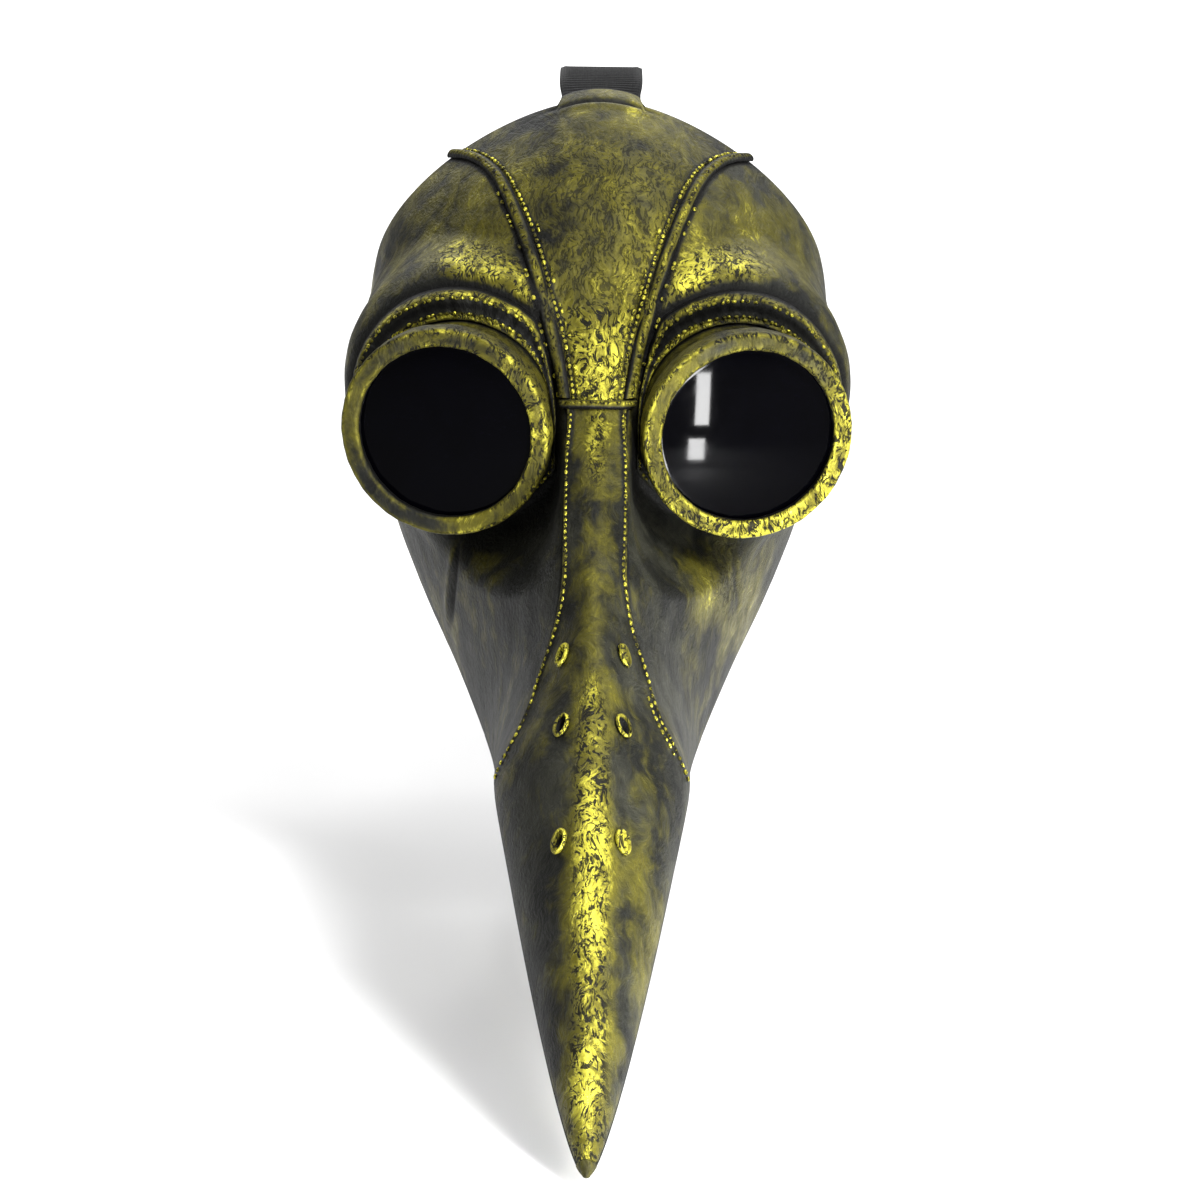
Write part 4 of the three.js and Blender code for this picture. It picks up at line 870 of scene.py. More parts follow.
def beak_end(columns=96, rings=34, dome=6):
    """The solid tip: a spigot inside the hollow, the last of the beak's shape, and a blunt rounded point."""
    around = np.linspace(-2, 2, columns, endpoint=False)
    start = TIP_CUT + along_length(np.float64(TIP_CUT), 0.0, GAP)
    spigot = float(wall_depth(np.float64(TIP_CUT))) - 2 * GAP
    rows, gold = [], []
    for t, offset in [(TIP_CUT - 0.35, spigot), (start, spigot)]:
        rows.append(skin(np.full(columns, t), around) + skin_normal(np.full(columns, t), around) * offset)
    for t in start + (TIP_STATION - start) * np.linspace(0, 1, rings):
        p = skin(np.full(columns, t), around)
        rows.append(p + skin_normal(np.full(columns, t), around) * hand_made(p)[:, None] * 0.6)
    last = rows[-1]
    middle = last.mean(0)
    ahead = middle - rows[-2].mean(0)
    ahead = ahead / np.linalg.norm(ahead)
    for k in range(1, dome):
        a = math.pi / 2 * k / dome
        rows.append(middle + (last - middle) * math.cos(a) + ahead * BEAK_TIP_HALF_WIDTH * 0.8 * math.sin(a))
    points = np.concatenate(rows + [rows[0].mean(0)[None], (middle + ahead * BEAK_TIP_HALF_WIDTH * 0.8)[None]])
    faces = []
    for i in range(len(rows) - 1):
        for j in range(columns):
            k = (j + 1) % columns
            faces.append((i * columns + j, (i + 1) * columns + j, (i + 1) * columns + k, i * columns + k))
    back, front = len(points) - 2, len(points) - 1
    for j in range(columns):
        k = (j + 1) % columns
        faces.append((back, j, k))
        faces.append((front, (len(rows) - 1) * columns + k, (len(rows) - 1) * columns + j))
    share = np.exp(-((points[:, 0] / 0.005) ** 2))
    gold = 0.35 + 0.6 * share * np.clip((points[:, 1] - middle[1]) / 0.012, 0, 1)
    piece = mesh_piece("beak_end", points, faces, [LATEX], attributes=[("gold", gold), ("recess", gold * 0)])
    mend_normals(piece)
    return piece


finished(beak_end(), "latex", "beak_tip")

# ---- Vent eyelets ----
# Six oval eyelets pressed through the beak. Their lips carry painted light, brightest on the side that faces the
# ridge, and their holes are painted dark as shade.
VENT_FLANGE = 0.0011
VENT_RISE = 0.0011
VENT_SEAT = 0.0005
for (row, side), matrix in vents.items():
    inside = -SHELL - 0.0008
    lip = [(VENT_BARREL + VENT_FLANGE * (0.5 + 0.5 * math.cos(a)) - 0.0001,
            VENT_SEAT + VENT_RISE * math.sin(a)) for a in np.linspace(0, math.pi, 9)]
    profile = [(0, inside), (VENT_BARREL, inside), (VENT_BARREL, VENT_SEAT - 0.0002)] + lip + [(0, VENT_SEAT)]
    points, faces = oval_points(profile, matrix)
    local = [matrix.inverted() @ p for p in points]
    # Painted light: gold heaviest on the lip's side towards the ridge. Painted shade: black below the seat, down
    # the hole.
    gold = [0.45 + 0.75 * (0.5 - 0.5 * side * p.x / 0.003) if p.z > 0 else -1 for p in local]
    recess = [1.0 if p.z < VENT_SEAT else 0.0 for p in local]
    eyelet = mesh_piece(f"eyelet_{row}_{'left' if side > 0 else 'right'}", points, faces, [LATEX],
                        attributes=[("gold", gold), ("recess", recess)])
    mend_normals(eyelet)
    finished(eyelet, "gilt", f"vent_grommet_{row}_{'left' if side > 0 else 'right'}")

# ---- Welted seams ----
# Soft piping laid over the two forehead seams and the short seam across the nose bridge, pulled into ripples
# by the stitches beside it.
WELT_HALF_WIDTH = 0.0023
WELT_HEIGHT = 0.0017
WELT_SEAT = 0.00045
STITCH_PITCH = 0.0021


def welt(name, t, u, lengths, arch):
    base, normal = skin(t, u), skin_normal(t, u)
    ripple = 0.00016 * np.sin(2 * math.pi * lengths / STITCH_PITCH) * arch
    height = WELT_SEAT + WELT_HEIGHT * (0.2 + 0.8 * arch**0.6) + ripple + 2 * hand_made(base)
    outer = base + normal * height[..., None]
    inner = base + normal * WELT_SEAT
    gold = 0.12 + 0.5 * arch**2
    # Painted shade along the welt's edges, where it meets the skin.
    recess = 0.9 * (1 - ramp(arch, 0.1, 0.6))
    return closed_sheet(name, outer, inner, [LATEX], [("gold", gold), ("recess", recess)])


cross_half = float(along_length(np.float64(BRIDGE_STATION), 0.0, 0.0017))
for label, side in (("left", 1), ("right", -1)):
    rows, columns = 260, 15
    end = BRIDGE_STATION - float(along_length(np.float64(BRIDGE_STATION), 0.0, GAP + 0.0017))
    t = np.linspace(EDGE_STATION, end, rows)[:, None] + np.zeros((1, columns))
    v = np.linspace(-1, 1, columns)[None] * side
    seam = seam_across(t[:, 0])
    u = side * (seam[:, None] + across_length(t[:, 0], seam, WELT_HALF_WIDTH)[:, None] * v * side)
    down = run_length(skin(t, u)[:, columns // 2])
    arch = np.cos(v * math.pi / 2).clip(0) + t * 0
    finished(welt(f"piping_{label}", t, u, down[:, None] + t * 0, arch), "latex", f"seam_welt_{label}")

rows, columns = 15, 90
v = np.linspace(-1, 1, rows)[:, None]
t = BRIDGE_STATION + cross_half * v + np.zeros((1, columns))
seam = float(seam_across(BRIDGE_STATION))
edge = seam + float(across_length(np.float64(BRIDGE_STATION), seam, 0.0017))
u = edge * np.linspace(-1, 1, columns)[None] + t * 0
arch = np.cos(v * math.pi / 2).clip(0) + t * 0
finished(welt("piping_bridge", t, u, skin(t, u)[..., 0], arch), "latex", "bridge_welt")

# ---- Stitches ----
# Waxed thread stitches stand proud beside every seam, as short beads. Paint has caught on most of them.


def bead_tree(name, length, width, height, material):
    """A geometry node tree that puts a bead on every point, along the point's own directions."""
    tree = bpy.data.node_groups.new(name, "GeometryNodeTree")
    tree.interface.new_socket("Geometry", in_out="INPUT", socket_type="NodeSocketGeometry")
    tree.interface.new_socket("Length", in_out="INPUT", socket_type="NodeSocketFloat")
    tree.interface.new_socket("Width", in_out="INPUT", socket_type="NodeSocketFloat")
    tree.interface.new_socket("Height", in_out="INPUT", socket_type="NodeSocketFloat")
    tree.interface.new_socket("Seed", in_out="INPUT", socket_type="NodeSocketInt")
    tree.interface.new_socket("Geometry", in_out="OUTPUT", socket_type="NodeSocketGeometry")
    source = node(tree, "NodeGroupInput")
    end = node(tree, "NodeGroupOutput")
    ball = node(tree, "GeometryNodeMeshUVSphere")
    ball.inputs["Segments"].default_value = 8
    ball.inputs["Rings"].default_value = 6
    ball.inputs["Radius"].default_value = 0.5
    size = node(tree, "ShaderNodeCombineXYZ")
    for place, key in enumerate(("Length", "Width", "Height")):
        tree.links.new(source.outputs[key], size.inputs[place])
    shaped = node(tree, "GeometryNodeTransform", [(ball.outputs["Mesh"], "Geometry"), (size.outputs[0], "Scale")])
    smooth = node(tree, "GeometryNodeSetShadeSmooth", [(shaped.outputs[0], "Geometry")])
    along = node(tree, "GeometryNodeInputNamedAttribute", data_type="FLOAT_VECTOR")
    along.inputs["Name"].default_value = "along"
    outward = node(tree, "GeometryNodeInputNamedAttribute", data_type="FLOAT_VECTOR")
    outward.inputs["Name"].default_value = "outward"
    first = node(tree, "FunctionNodeAlignRotationToVector", [(along.outputs[0], "Vector")], axis="X")
    turn = node(tree, "FunctionNodeAlignRotationToVector",
                [(first.outputs[0], "Rotation"), (outward.outputs[0], "Vector")], axis="Z", pivot_axis="X")
    scale = node(tree, "FunctionNodeRandomValue", [(source.outputs["Seed"], "Seed")], data_type="FLOAT_VECTOR")
    scale.inputs[0].default_value = (0.75, 0.8, 0.7)
    scale.inputs[1].default_value = (1.15, 1.2, 1.25)
    placed = node(tree, "GeometryNodeInstanceOnPoints",
                  [(source.outputs["Geometry"], "Points"), (smooth.outputs[0], "Instance"),
                   (turn.outputs[0], "Rotation"), (scale.outputs[0], "Scale")])
    paint = node(tree, "FunctionNodeRandomValue", data_type="FLOAT")
    paint.inputs[2].default_value = 0.5
    paint.inputs[3].default_value = 1.5
    kept = node(tree, "GeometryNodeStoreNamedAttribute",
                [(placed.outputs[0], "Geometry"), (paint.outputs[1], "Value")],
                data_type="FLOAT", domain="INSTANCE")
    kept.inputs["Name"].default_value = "gold"
    real = node(tree, "GeometryNodeRealizeInstances", [(kept.outputs[0], "Geometry")])
    coat = node(tree, "GeometryNodeSetMaterial", [(real.outputs[0], "Geometry")])
    coat.inputs["Material"].default_value = material
    tree.links.new(coat.outputs[0], end.inputs["Geometry"])
    return tree, {"Length": length, "Width": width, "Height": height}


def beads(name, places, outward, along, size, material, slot_name="latex", seed=3, body="mask"):
    """Bead stitches at places, as one plain mesh."""
    mesh = bpy.data.meshes.new(name)
    mesh.from_pydata([tuple(p) for p in places], [], [])
    for label, values in (("outward", outward), ("along", along)):
        flat = np.asarray(values, np.float32).ravel()
        mesh.attributes.new(label, "FLOAT_VECTOR", "POINT").data.foreach_set("vector", flat)
    piece = bpy.data.objects.new(name, mesh)
    bpy.context.collection.objects.link(piece)
    tree, sizes = bead_tree(name, *size, material)
    modifier = piece.modifiers.new("beads", "NODES")
    modifier.node_group = tree
    for item in tree.interface.items_tree:
        if item.in_out == "INPUT" and item.name in sizes:
            modifier[item.identifier] = sizes[item.name]
        if item.in_out == "INPUT" and item.name == "Seed":
            modifier[item.identifier] = seed
    bpy.context.view_layer.update()
    graph = bpy.context.evaluated_depsgraph_get()
    plain = bpy.data.meshes.new_from_object(piece.evaluated_get(graph))
    piece.modifiers.clear()
    piece.data = plain
    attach(piece, body)
    return piece


def along_seam(start, end, inset, side, pitch=STITCH_PITCH, lift=0.0001, keep=None):
    """Places for stitches at a distance inside the seam, evenly spaced along it."""
    def beside(t):
        seam = seam_across(t)
        return side * (seam - across_length(t, seam, inset / np.where(t > SEAM_FLARE, seam_slant(t), 1)))

    t = np.linspace(start, end, 1500)
    p = skin(t, beside(t))
    run = run_length(p)
    stops = np.interp(np.arange(pitch / 2, run[-1], pitch), run, t)
    if keep is not None:
        stops = stops[keep(len(stops))]
    u = beside(stops)
    here = skin(stops, u)
    ahead = skin(stops + 0.01, beside(stops + 0.01)) - here
    lift_here = lift + brow(here)[0] + hand_made(here)
    return here + skin_normal(stops, u) * lift_here[:, None], skin_normal(stops, u), ahead


def gathered(rows):
    return [np.concatenate(parts) for parts in zip(*rows)]


random_gaps = np.random.default_rng(11)
forehead_rows = []
for side in (1, -1):
    forehead_rows.append(along_seam(EDGE_STATION + 0.05, BRIDGE_STATION - 0.06, 0.0034, side))
    forehead_rows.append(along_seam(2.6, BRIDGE_STATION - 0.1, 0.0053, side,
                                    keep=lambda n: random_gaps.random(n) > 0.35))
    forehead_rows.append(along_seam(2.2, BRIDGE_STATION - 0.1, -0.0032, side,
                                    keep=lambda n: random_gaps.random(n) > 0.5))
beads("forehead_stitches", *gathered(forehead_rows), (0.0018, 0.0013, 0.0012), LATEX, seed=5)

beak_rows = [along_seam(BRIDGE_STATION + 0.12, SEAM_END - 0.03, 0.0019, side, pitch=0.0024, lift=0.0004)
             for side in (1, -1)]
beak_rows.append(along_seam(11.2, SEAM_END - 0.1, 0.0046, 1, pitch=0.0024, lift=0.0002))
beads("beak_stitches", *gathered(beak_rows), (0.0018, 0.0010, 0.0010), LATEX, seed=9)

# ---- Eyepiece collars ----
# A round of latex glued to the skin round each eyepiece tube, higher above it than below, and clipped off
# beside the seam. Its two edges are stitched.
COLLAR_THICKNESS = 0.0022
seam_line = skin(np.linspace(EDGE_STATION, SEAM_END, 400), seam_across(np.linspace(EDGE_STATION, SEAM_END, 400)))


def seam_limit(z):
    """How far from the midline the seam and its piping reach at a height."""
    order = np.argsort(seam_line[:, 2])
    return np.interp(z, seam_line[order, 2], seam_line[order, 0]) + WELT_HALF_WIDTH + 3 * GAP


def collar_reach(angle):
    """Distance from the tube's centre to the collar's edge, whose circle is shifted up."""
    across, up = math.cos(angle), math.sin(angle)
    return COLLAR_LIFT * up + math.sqrt(COLLAR_RADIUS**2 - (COLLAR_LIFT * across) ** 2)


def collar_grid(side, count=260, columns=17):
    """Skin places under the collar, as heights above the eyepiece's seat."""
    matrix = eye_matrix(side)
    axis = Vector(matrix.col[2][:3])
    grid = np.zeros((count, columns, 3))
    for i in range(count):
        angle = 2 * math.pi * i / count
        inner, outer = CUP_RADIUS + GAP / 2, collar_reach(angle)
        spots = []
        for r in np.linspace(inner, outer, 30):
            start = matrix @ Vector((r * math.cos(angle), r * math.sin(angle), 0.05))
            hit = skin_trees[side].ray_cast(start, -axis)[0]
            if hit is None or abs(hit.x) < seam_limit(hit.z):
                break
            spots.append((r, (matrix.inverted() @ hit).z))
        if len(spots) < 2:
            spots = [(inner, 0.0), (inner + 0.0006, 0.0)]
        radii, heights = np.array(spots).T
        r = np.linspace(inner, max(radii[-1], inner + 0.0006), columns)
        z = np.interp(r, radii, heights)
        grid[i] = np.stack([r * math.cos(angle), r * math.sin(angle), z], -1)
    return grid


def ring_sheet(name, outer, inner, materials, attributes):
    """A closed ring between two grids of points that go once round."""
    count, columns = outer.shape[:2]
    total = count * columns
    faces = []
    for i in range(count):
        k = (i + 1) % count
        for j in range(columns - 1):
            a, b, c, d = i * columns + j, k * columns + j, k * columns + j + 1, i * columns + j + 1
            faces.append((a, b, c, d))
            faces.append((a + total, d + total, c + total, b + total))
        for j in (0, columns - 1):
            faces.append((i * columns + j, i * columns + j + total, k * columns + j + total, k * columns + j))
    points = np.concatenate([outer.reshape(-1, 3), inner.reshape(-1, 3)])
    doubled = [(label, np.concatenate([v.ravel(), v.ravel()])) for label, v in attributes]
    piece = mesh_piece(name, points, faces, materials, attributes=doubled)
    mend_normals(piece)
    return piece


def collar(side, label):
    grid = collar_grid(side)
    count, columns = grid.shape[:2]
    # Even out the clipped side, so that the outline runs smoothly.
    for _ in range(6):
        grid = (np.roll(grid, 1, 0) + 2 * grid + np.roll(grid, -1, 0)) / 4
    s = np.linspace(0, 1, columns)[None] + np.zeros((count, 1))
    turn = np.linspace(0, 2 * math.pi, count, endpoint=False)[:, None] + s * 0
    radius = np.hypot(grid[..., 0], grid[..., 1])
    width = radius[:, -1:] - radius[:, :1]
    edge = np.minimum(s, 1 - s) * width
    top = COLLAR_THICKNESS + rolled(edge, 0.0011)
    top -= 0.0005 * np.exp(-(((s - 0.5) / 0.22) ** 2)) * ramp(width, 0.003, 0.006)
    ragged = 0.0003 * np.sin(turn * 31 + 3 * np.sin(turn * 7)) + 0.0002 * np.sin(turn * 67 + 1)
    fillet = 0.0010 * np.exp(-((s * width / 0.0011) ** 2))
    outer, inner = grid.copy(), grid.copy()
    outer[..., 2] += GAP + top + ragged * (0.3 + s) + fillet
    inner[..., 2] += GAP
    m = np.array(eye_matrix(side))
    outer = outer @ m[:3, :3].T + m[:3, 3]
    inner = inner @ m[:3, :3].T + m[:3, 3]
    high = ramp(np.sin(turn), -0.5, 0.6)
    lines = 0.7 * np.exp(-(((s - 0.16) / 0.09) ** 2)) + 0.6 * np.exp(-(((s - 0.86) / 0.1) ** 2))
    gold = (0.15 + lines) * (0.25 + 0.75 * high)
    # Painted shade in the groove down the collar's middle and along its two edges.
    recess = 0.85 * np.exp(-(((s - 0.5) / 0.16) ** 2)) + 0.9 * (s < 0.04) + 0.9 * (s > 0.97)
    piece = ring_sheet(f"collar_{label}", outer, inner, [LATEX], [("gold", gold), ("recess", recess)])
    finished(piece, "latex", f"eye_collar_{label}")
    return outer, width[:, 0]


collar_stitches = []
for label, side in (("left", 1), ("right", -1)):
    surface, collar_width = collar(side, label)
    axis = np.array(eye_matrix(side))[:3, 2]
    for column, step in ((4, 3), (12, 2)):
        line = surface[:, column]
        run = run_length(line)
        picks = np.searchsorted(run, np.arange(0.001, run[-1], 0.0023))
        picks = picks[(picks < len(line) - 1)]
        picks = picks[(collar_width[picks] > 0.0035) & (random_gaps.random(len(picks)) > 0.12)]
        ahead = np.roll(line, -1, 0) - line
        collar_stitches.append((line[picks] + axis * 0.0001, np.tile(axis, (len(picks), 1)), ahead[picks]))
beads("collar_stitches", *gathered(collar_stitches), (0.0016, 0.0012, 0.0011), LATEX, seed=21)

# ---- Eyepieces ----
# A moulded latex tube stands out of each collar. A cast rim with a rolled front edge pushes over the tube and
# holds a smoked lens against a thin rubber ring.
CUP_WALL = 0.0023
CUP_LENGTH = 0.0195
GASKET_BACK = CUP_LENGTH + GAP
LENS_BACK = GASKET_BACK + 0.001 + GAP
LENS_FRONT = LENS_BACK + 0.0018
LENS_DOME = 0.0016
RIM_BACK = LENS_FRONT + GAP
RIM_FRONT = RIM_BACK + 0.0028
RIM_INNER = LENS_RADIUS - 0.0025
SKIRT_INNER = CUP_RADIUS + GAP
RIM_OUTER = SKIRT_INNER + 0.0027
RIM_SKIRT_BACK = RIM_BACK - 0.0055


def rounded(corners, steps=5):
    """A closed profile with its corners rounded. Each corner is (radius, height, rounding)."""
    out = []
    n = len(corners)
    for i, (x, y, r) in enumerate(corners):
        here = np.array([x, y])
        if r == 0:
            out.append(here)
            continue
        before = np.array(corners[i - 1][:2]) - here
        after = np.array(corners[(i + 1) % n][:2]) - here
        a = here + before / np.linalg.norm(before) * r
        b = here + after / np.linalg.norm(after) * r
        for s in np.linspace(0, 1, steps):
            out.append((1 - s) ** 2 * a + 2 * s * (1 - s) * here + s * s * b)
    return out


def split_long(profile, longest=0.0012):
    """Adds points to the long straight runs of a closed profile."""
    out = []
    for i, a in enumerate(profile):
        b = profile[(i + 1) % len(profile)]
        count = max(1, int(math.ceil(np.linalg.norm(b - a) / longest)))
        out += [a + (b - a) * k / count for k in range(count)]
    return out


def lathe(name, profile, side, material, count=220, dent=0.0, streak=0.0, gold=None, recess=None):
    """A closed profile turned round the eyepiece's axis, with dents and streaks worked into it."""
    profile = np.array(split_long(profile)) if len(profile) < 200 else np.array(profile)
    k = len(profile)
    a = np.linspace(0, 2 * math.pi, count, endpoint=False)[:, None] + np.zeros((1, k))
    r, z = profile[:, 0][None] + a * 0, profile[:, 1][None] + a * 0
    bumps = (np.sin(9 * a + 400 * z + 2 * np.sin(4 * a)) + np.sin(17 * a - 300 * z + 1)
             + 0.7 * np.sin(41 * a + 900 * z))
    lines = np.sin(2500 * z + 3 * np.sin(2 * a + side) + 2 * np.sin(5 * a)) * ramp(np.sin(3 * a + 1), -0.4, 0.8)
    r = r + dent * bumps * 0.4 + streak * lines
    z = z + dent * 0.4 * np.sin(13 * a + 1 + side)
    points = np.stack([r * np.cos(a), r * np.sin(a), z], -1)
    m = np.array(eye_matrix(side))
    world_points = points.reshape(-1, 3) @ m[:3, :3].T + m[:3, 3]
    faces = []
    for i in range(count):
        for j in range(k):
            b, c = i * k + (j + 1) % k, ((i + 1) % count) * k + (j + 1) % k
            faces.append((i * k + j, ((i + 1) % count) * k + j, c, b))
    attributes = []
    for label, function in (("gold", gold), ("recess", recess)):
        if function is not None:
            attributes.append((label, function(r, z, a).ravel()))
    piece = mesh_piece(name, world_points, faces, [material], attributes=attributes)
    mend_normals(piece)
    return piece


def smoked_lens():
    material, tree, shader, where = new_material("smoked_lens")
    smear = noise(tree, where, 45, 4, 0.6, 0.8)
    shader.inputs["Specular IOR Level"].default_value = 0.025
    apply_finish(tree, shader, blend_colour(tree, smear, (0.0002, 0.0002, 0.0003), (0.0006, 0.0006, 0.0014)),
           spread(tree, smear, 0.3, 0.8, 0.03, 0.09), noise(tree, where, 18, 2, 0.5), 0.05, 0.0002)
    return material


LENS_MATERIAL = smoked_lens()
RUBBER = bare_latex("black_rubber", (0.008, 0.008, 0.009), 0.5)
for label, side in (("left", 1), ("right", -1)):
    inner = CUP_RADIUS - CUP_WALL
    tube = rounded([(inner, -SHELL - 0.0015, 0.0006), (CUP_RADIUS, -SHELL - 0.0015, 0.0006),
                    (CUP_RADIUS, CUP_LENGTH, 0), (inner, CUP_LENGTH, 0)])
    tube_gold = lambda r, z, a: (0.12 + 0.35 * ramp(np.sin(a + 0.4), 0.2, 1)
                                 + 0.4 * np.exp(-(((z - 0.0165) / 0.0012) ** 2)))
    # Painted shade at the tube's foot by the collar, under the rim's skirt and over the inside wall.
    tube_painted_shade = lambda r, z, a: (0.75 * np.exp(-((np.clip(z - 0.0025, 0, 1) / 0.0016) ** 2))
                                   + 0.6 * np.exp(-(((z - 0.0183) / 0.0006) ** 2)) + 1.0 * (r < inner + 0.0005))
    finished(lathe(f"tube_{label}", tube, side, LATEX, dent=0.00012, streak=0.00016, gold=tube_gold,
                   recess=tube_painted_shade), "latex", f"eye_cup_{label}")
    rim = rounded([(SKIRT_INNER, RIM_SKIRT_BACK, 0.0004), (RIM_OUTER, RIM_SKIRT_BACK, 0.0013),
                   (RIM_OUTER + 0.0002, RIM_FRONT, 0.0016), (RIM_INNER, RIM_FRONT, 0.0014),
                   (RIM_INNER, RIM_BACK, 0), (SKIRT_INNER, RIM_BACK, 0)])
    # Painted light: the gold is heavier on the mask's left rim, and round each rim towards the side the lamps
    # light, the lower outer side on the left and the upper inner side on the right.
    rim_gold_and_painted_light = lambda r, z, a: (0.42 + 0.12 * side + 0.24 * np.cos(a + (0.9 if side > 0 else -0.6))
                                + 0.35 * np.exp(-(((r - RIM_OUTER + 0.0006) / 0.0007) ** 2)) * (z > RIM_BACK)
                                + 0.25 * np.exp(-(((r - RIM_INNER - 0.0008) / 0.0006) ** 2)) * (z > RIM_BACK))
    # Painted shade on the inner wall behind the front lip and inside the skirt.
    rim_painted_shade = lambda r, z, a: (1.0 * (r < RIM_INNER + 0.0004) * (z < RIM_FRONT - 0.0009)
                                  + 0.5 * (r < SKIRT_INNER + 0.0002) * (z < RIM_BACK))
    finished(lathe(f"rim_{label}", rim, side, LATEX, dent=0.00016, gold=rim_gold_and_painted_light, recess=rim_painted_shade),
             "gilt", f"eye_rim_{label}")
    dome = [(RIM_INNER - GAP) * s for s in np.linspace(1, 0, 26)]
    lens = [np.array([0.0, LENS_BACK]), np.array([LENS_RADIUS, LENS_BACK]), np.array([LENS_RADIUS, LENS_FRONT])]
    lens += [np.array([r, LENS_FRONT + LENS_DOME * (1 - (r / (RIM_INNER - GAP)) ** 2)]) for r in dome]
    finished(lathe(f"lens_{label}", lens, side, LENS_MATERIAL, count=160), "lens", f"eye_lens_{label}")
    ring = rounded([(inner, GASKET_BACK, 0.0003), (LENS_RADIUS, GASKET_BACK, 0.0003),
                    (LENS_RADIUS, GASKET_BACK + 0.001, 0.0003), (inner, GASKET_BACK + 0.001, 0.0003)])
    finished(lathe(f"ring_{label}", ring, side, RUBBER, count=160), "gasket", f"lens_gasket_{label}")

# ---- Elastic straps ----
# Black woven elastic, 28 mm wide, with raised ribs across it and a firm selvedge. The side straps run back
# from the temples and the top strap over the crown, and all three meet at the back of the head.
STRAP_WIDTH = 0.028
STRAP_THICKNESS = 0.0018
BOND = 0.0007
STRAP_OVERLAP = 0.022
STRAP_SETTLE = 0.017
SIDE_STRAP_HEIGHT = 0.005
SIDE_STRAIGHT = 0.060
HEAD_BACK = 0.096
HEAD_TOP = 0.115
HEAD_CROWN = 0.008
TOP_STRAIGHT = 0.052
PATCH_REACH = 0.022
STRAP_MEETING = 0.0006
RIB_PITCH = 0.0017
THREAD_PITCH = 0.0009
BOND_DEPTH = -SHELL - BOND - STRAP_THICKNESS / 2


def woven(name, colour=(0.0045, 0.0045, 0.005)):
    """Woven elastic: ribs and threads from the strap's own measure, with a little lint, and pale patches that are
    palest on the rib crests.
    """
    material, tree, shader, where = new_material(name)
    along = node(tree, "ShaderNodeAttribute", attribute_name="along").outputs["Fac"]
    across = node(tree, "ShaderNodeAttribute", attribute_name="across").outputs["Fac"]
    threads = math_node(tree, "SINE", times(tree, across, 2 * math.pi / THREAD_PITCH))
    rib = math_node(tree, "SINE", times(tree, along, 2 * math.pi / RIB_PITCH))
    lint = noise(tree, where, 900, 3, 0.7)
    pale_patches = spread(tree, noise(tree, where, 60, 4, 0.6), 0.45, 0.75)
    pale = tuple(c * 3.2 for c in colour)
    share = times(tree, pale_patches, spread(tree, rib, -0.2, 1.0))
    shader.inputs["Sheen Weight"].default_value = 0.08
    shader.inputs["Specular IOR Level"].default_value = 0.15
    apply_finish(tree, shader, blend_colour(tree, share, colour, pale), spread(tree, lint, 0.3, 0.7, 0.78, 0.95),
           plus(tree, times(tree, threads, 0.5), times(tree, lint, 0.8)), 0.6, 0.0002)
    return material


ELASTIC = woven("woven_elastic")


def smoothed_rows(grid, spacing):
    """A grid of places, drawn smoothly through its rows and evenly spaced along them."""
    middle = grid[:, grid.shape[1] // 2]
    run = run_length(middle)
    stops = np.linspace(0, run[-1], int(run[-1] / spacing) + 1)
    slope = np.gradient(grid, run, axis=0)
    i = np.clip(np.searchsorted(run, stops, "right") - 1, 0, len(run) - 2)
    gap = (run[i + 1] - run[i])
    f = ((stops - run[i]) / gap)[:, None, None]
    gap = gap[:, None, None]
    a, b, da, db = grid[i], grid[i + 1], slope[i] * gap, slope[i + 1] * gap
    f2, f3 = f * f, f * f * f
    return (2 * f3 - 3 * f2 + 1) * a + (f3 - 2 * f2 + f) * da + (3 * f2 - 2 * f3) * b + (f3 - f2) * db, stops


def strap(name, grid, nodes, columns=19):
    """Elastic webbing over a coarse grid of centre places."""
    rows, stops = smoothed_rows(grid, RIB_PITCH / 5)
    s = np.linspace(0, grid.shape[1] - 1, columns)
    low = np.clip(np.floor(s).astype(int), 0, grid.shape[1] - 2)
    f = (s - low)[None, :, None]
    rows = rows[:, low] * (1 - f) + rows[:, low + 1] * f
    normal = np.cross(np.gradient(rows, axis=0), np.gradient(rows, axis=1))
    normal /= np.linalg.norm(normal, axis=-1, keepdims=True)
    v = np.linspace(-1, 1, columns)[None]
    edge = (1 - np.abs(v)) * STRAP_WIDTH / 2
    selvedge = 0.00018 * np.exp(-(((edge - 0.0014) / 0.0009) ** 2))
    rib = 0.00013 * np.sin(2 * math.pi * stops / RIB_PITCH)[:, None] * ramp(edge, 0.001, 0.003)
    half = STRAP_THICKNESS / 2 - 0.00015 + rolled(edge, 0.0005) * 0.8 + selvedge + rib
    along = stops[:, None] + v * 0
    across = np.concatenate([[0], np.cumsum(np.full(columns - 1, STRAP_WIDTH / (columns - 1)))])[None] + along * 0
    piece = closed_sheet(name, rows + normal * half[..., None], rows - normal * half[..., None], [ELASTIC],
                         [("along", along), ("across", across)])
    mend_normals(piece)
    finished(piece, "elastic", *nodes)
    return rows


def run_rows(start_rows, route, settle):
    """Centre places of a strap: bonded rows inside the skin, then a free run that starts in line with them."""
    bonded = [skin(r[:, 0], r[:, 1]) + skin_normal(r[:, 0], r[:, 1]) * BOND_DEPTH for r in start_rows]
    v = np.linspace(-0.5, 0.5, 5)[:, None]
    free = [point + width * STRAP_WIDTH * v for point, width in route]
    misfit = bonded[-1] - free[0]
    running = []
    for (point, _), row in list(zip(route, free))[1:]:
        fade = 1 - ramp(np.linalg.norm(point - route[0][0]), 0, settle)
        running.append(row + misfit * fade)
    return np.array(bonded + running)


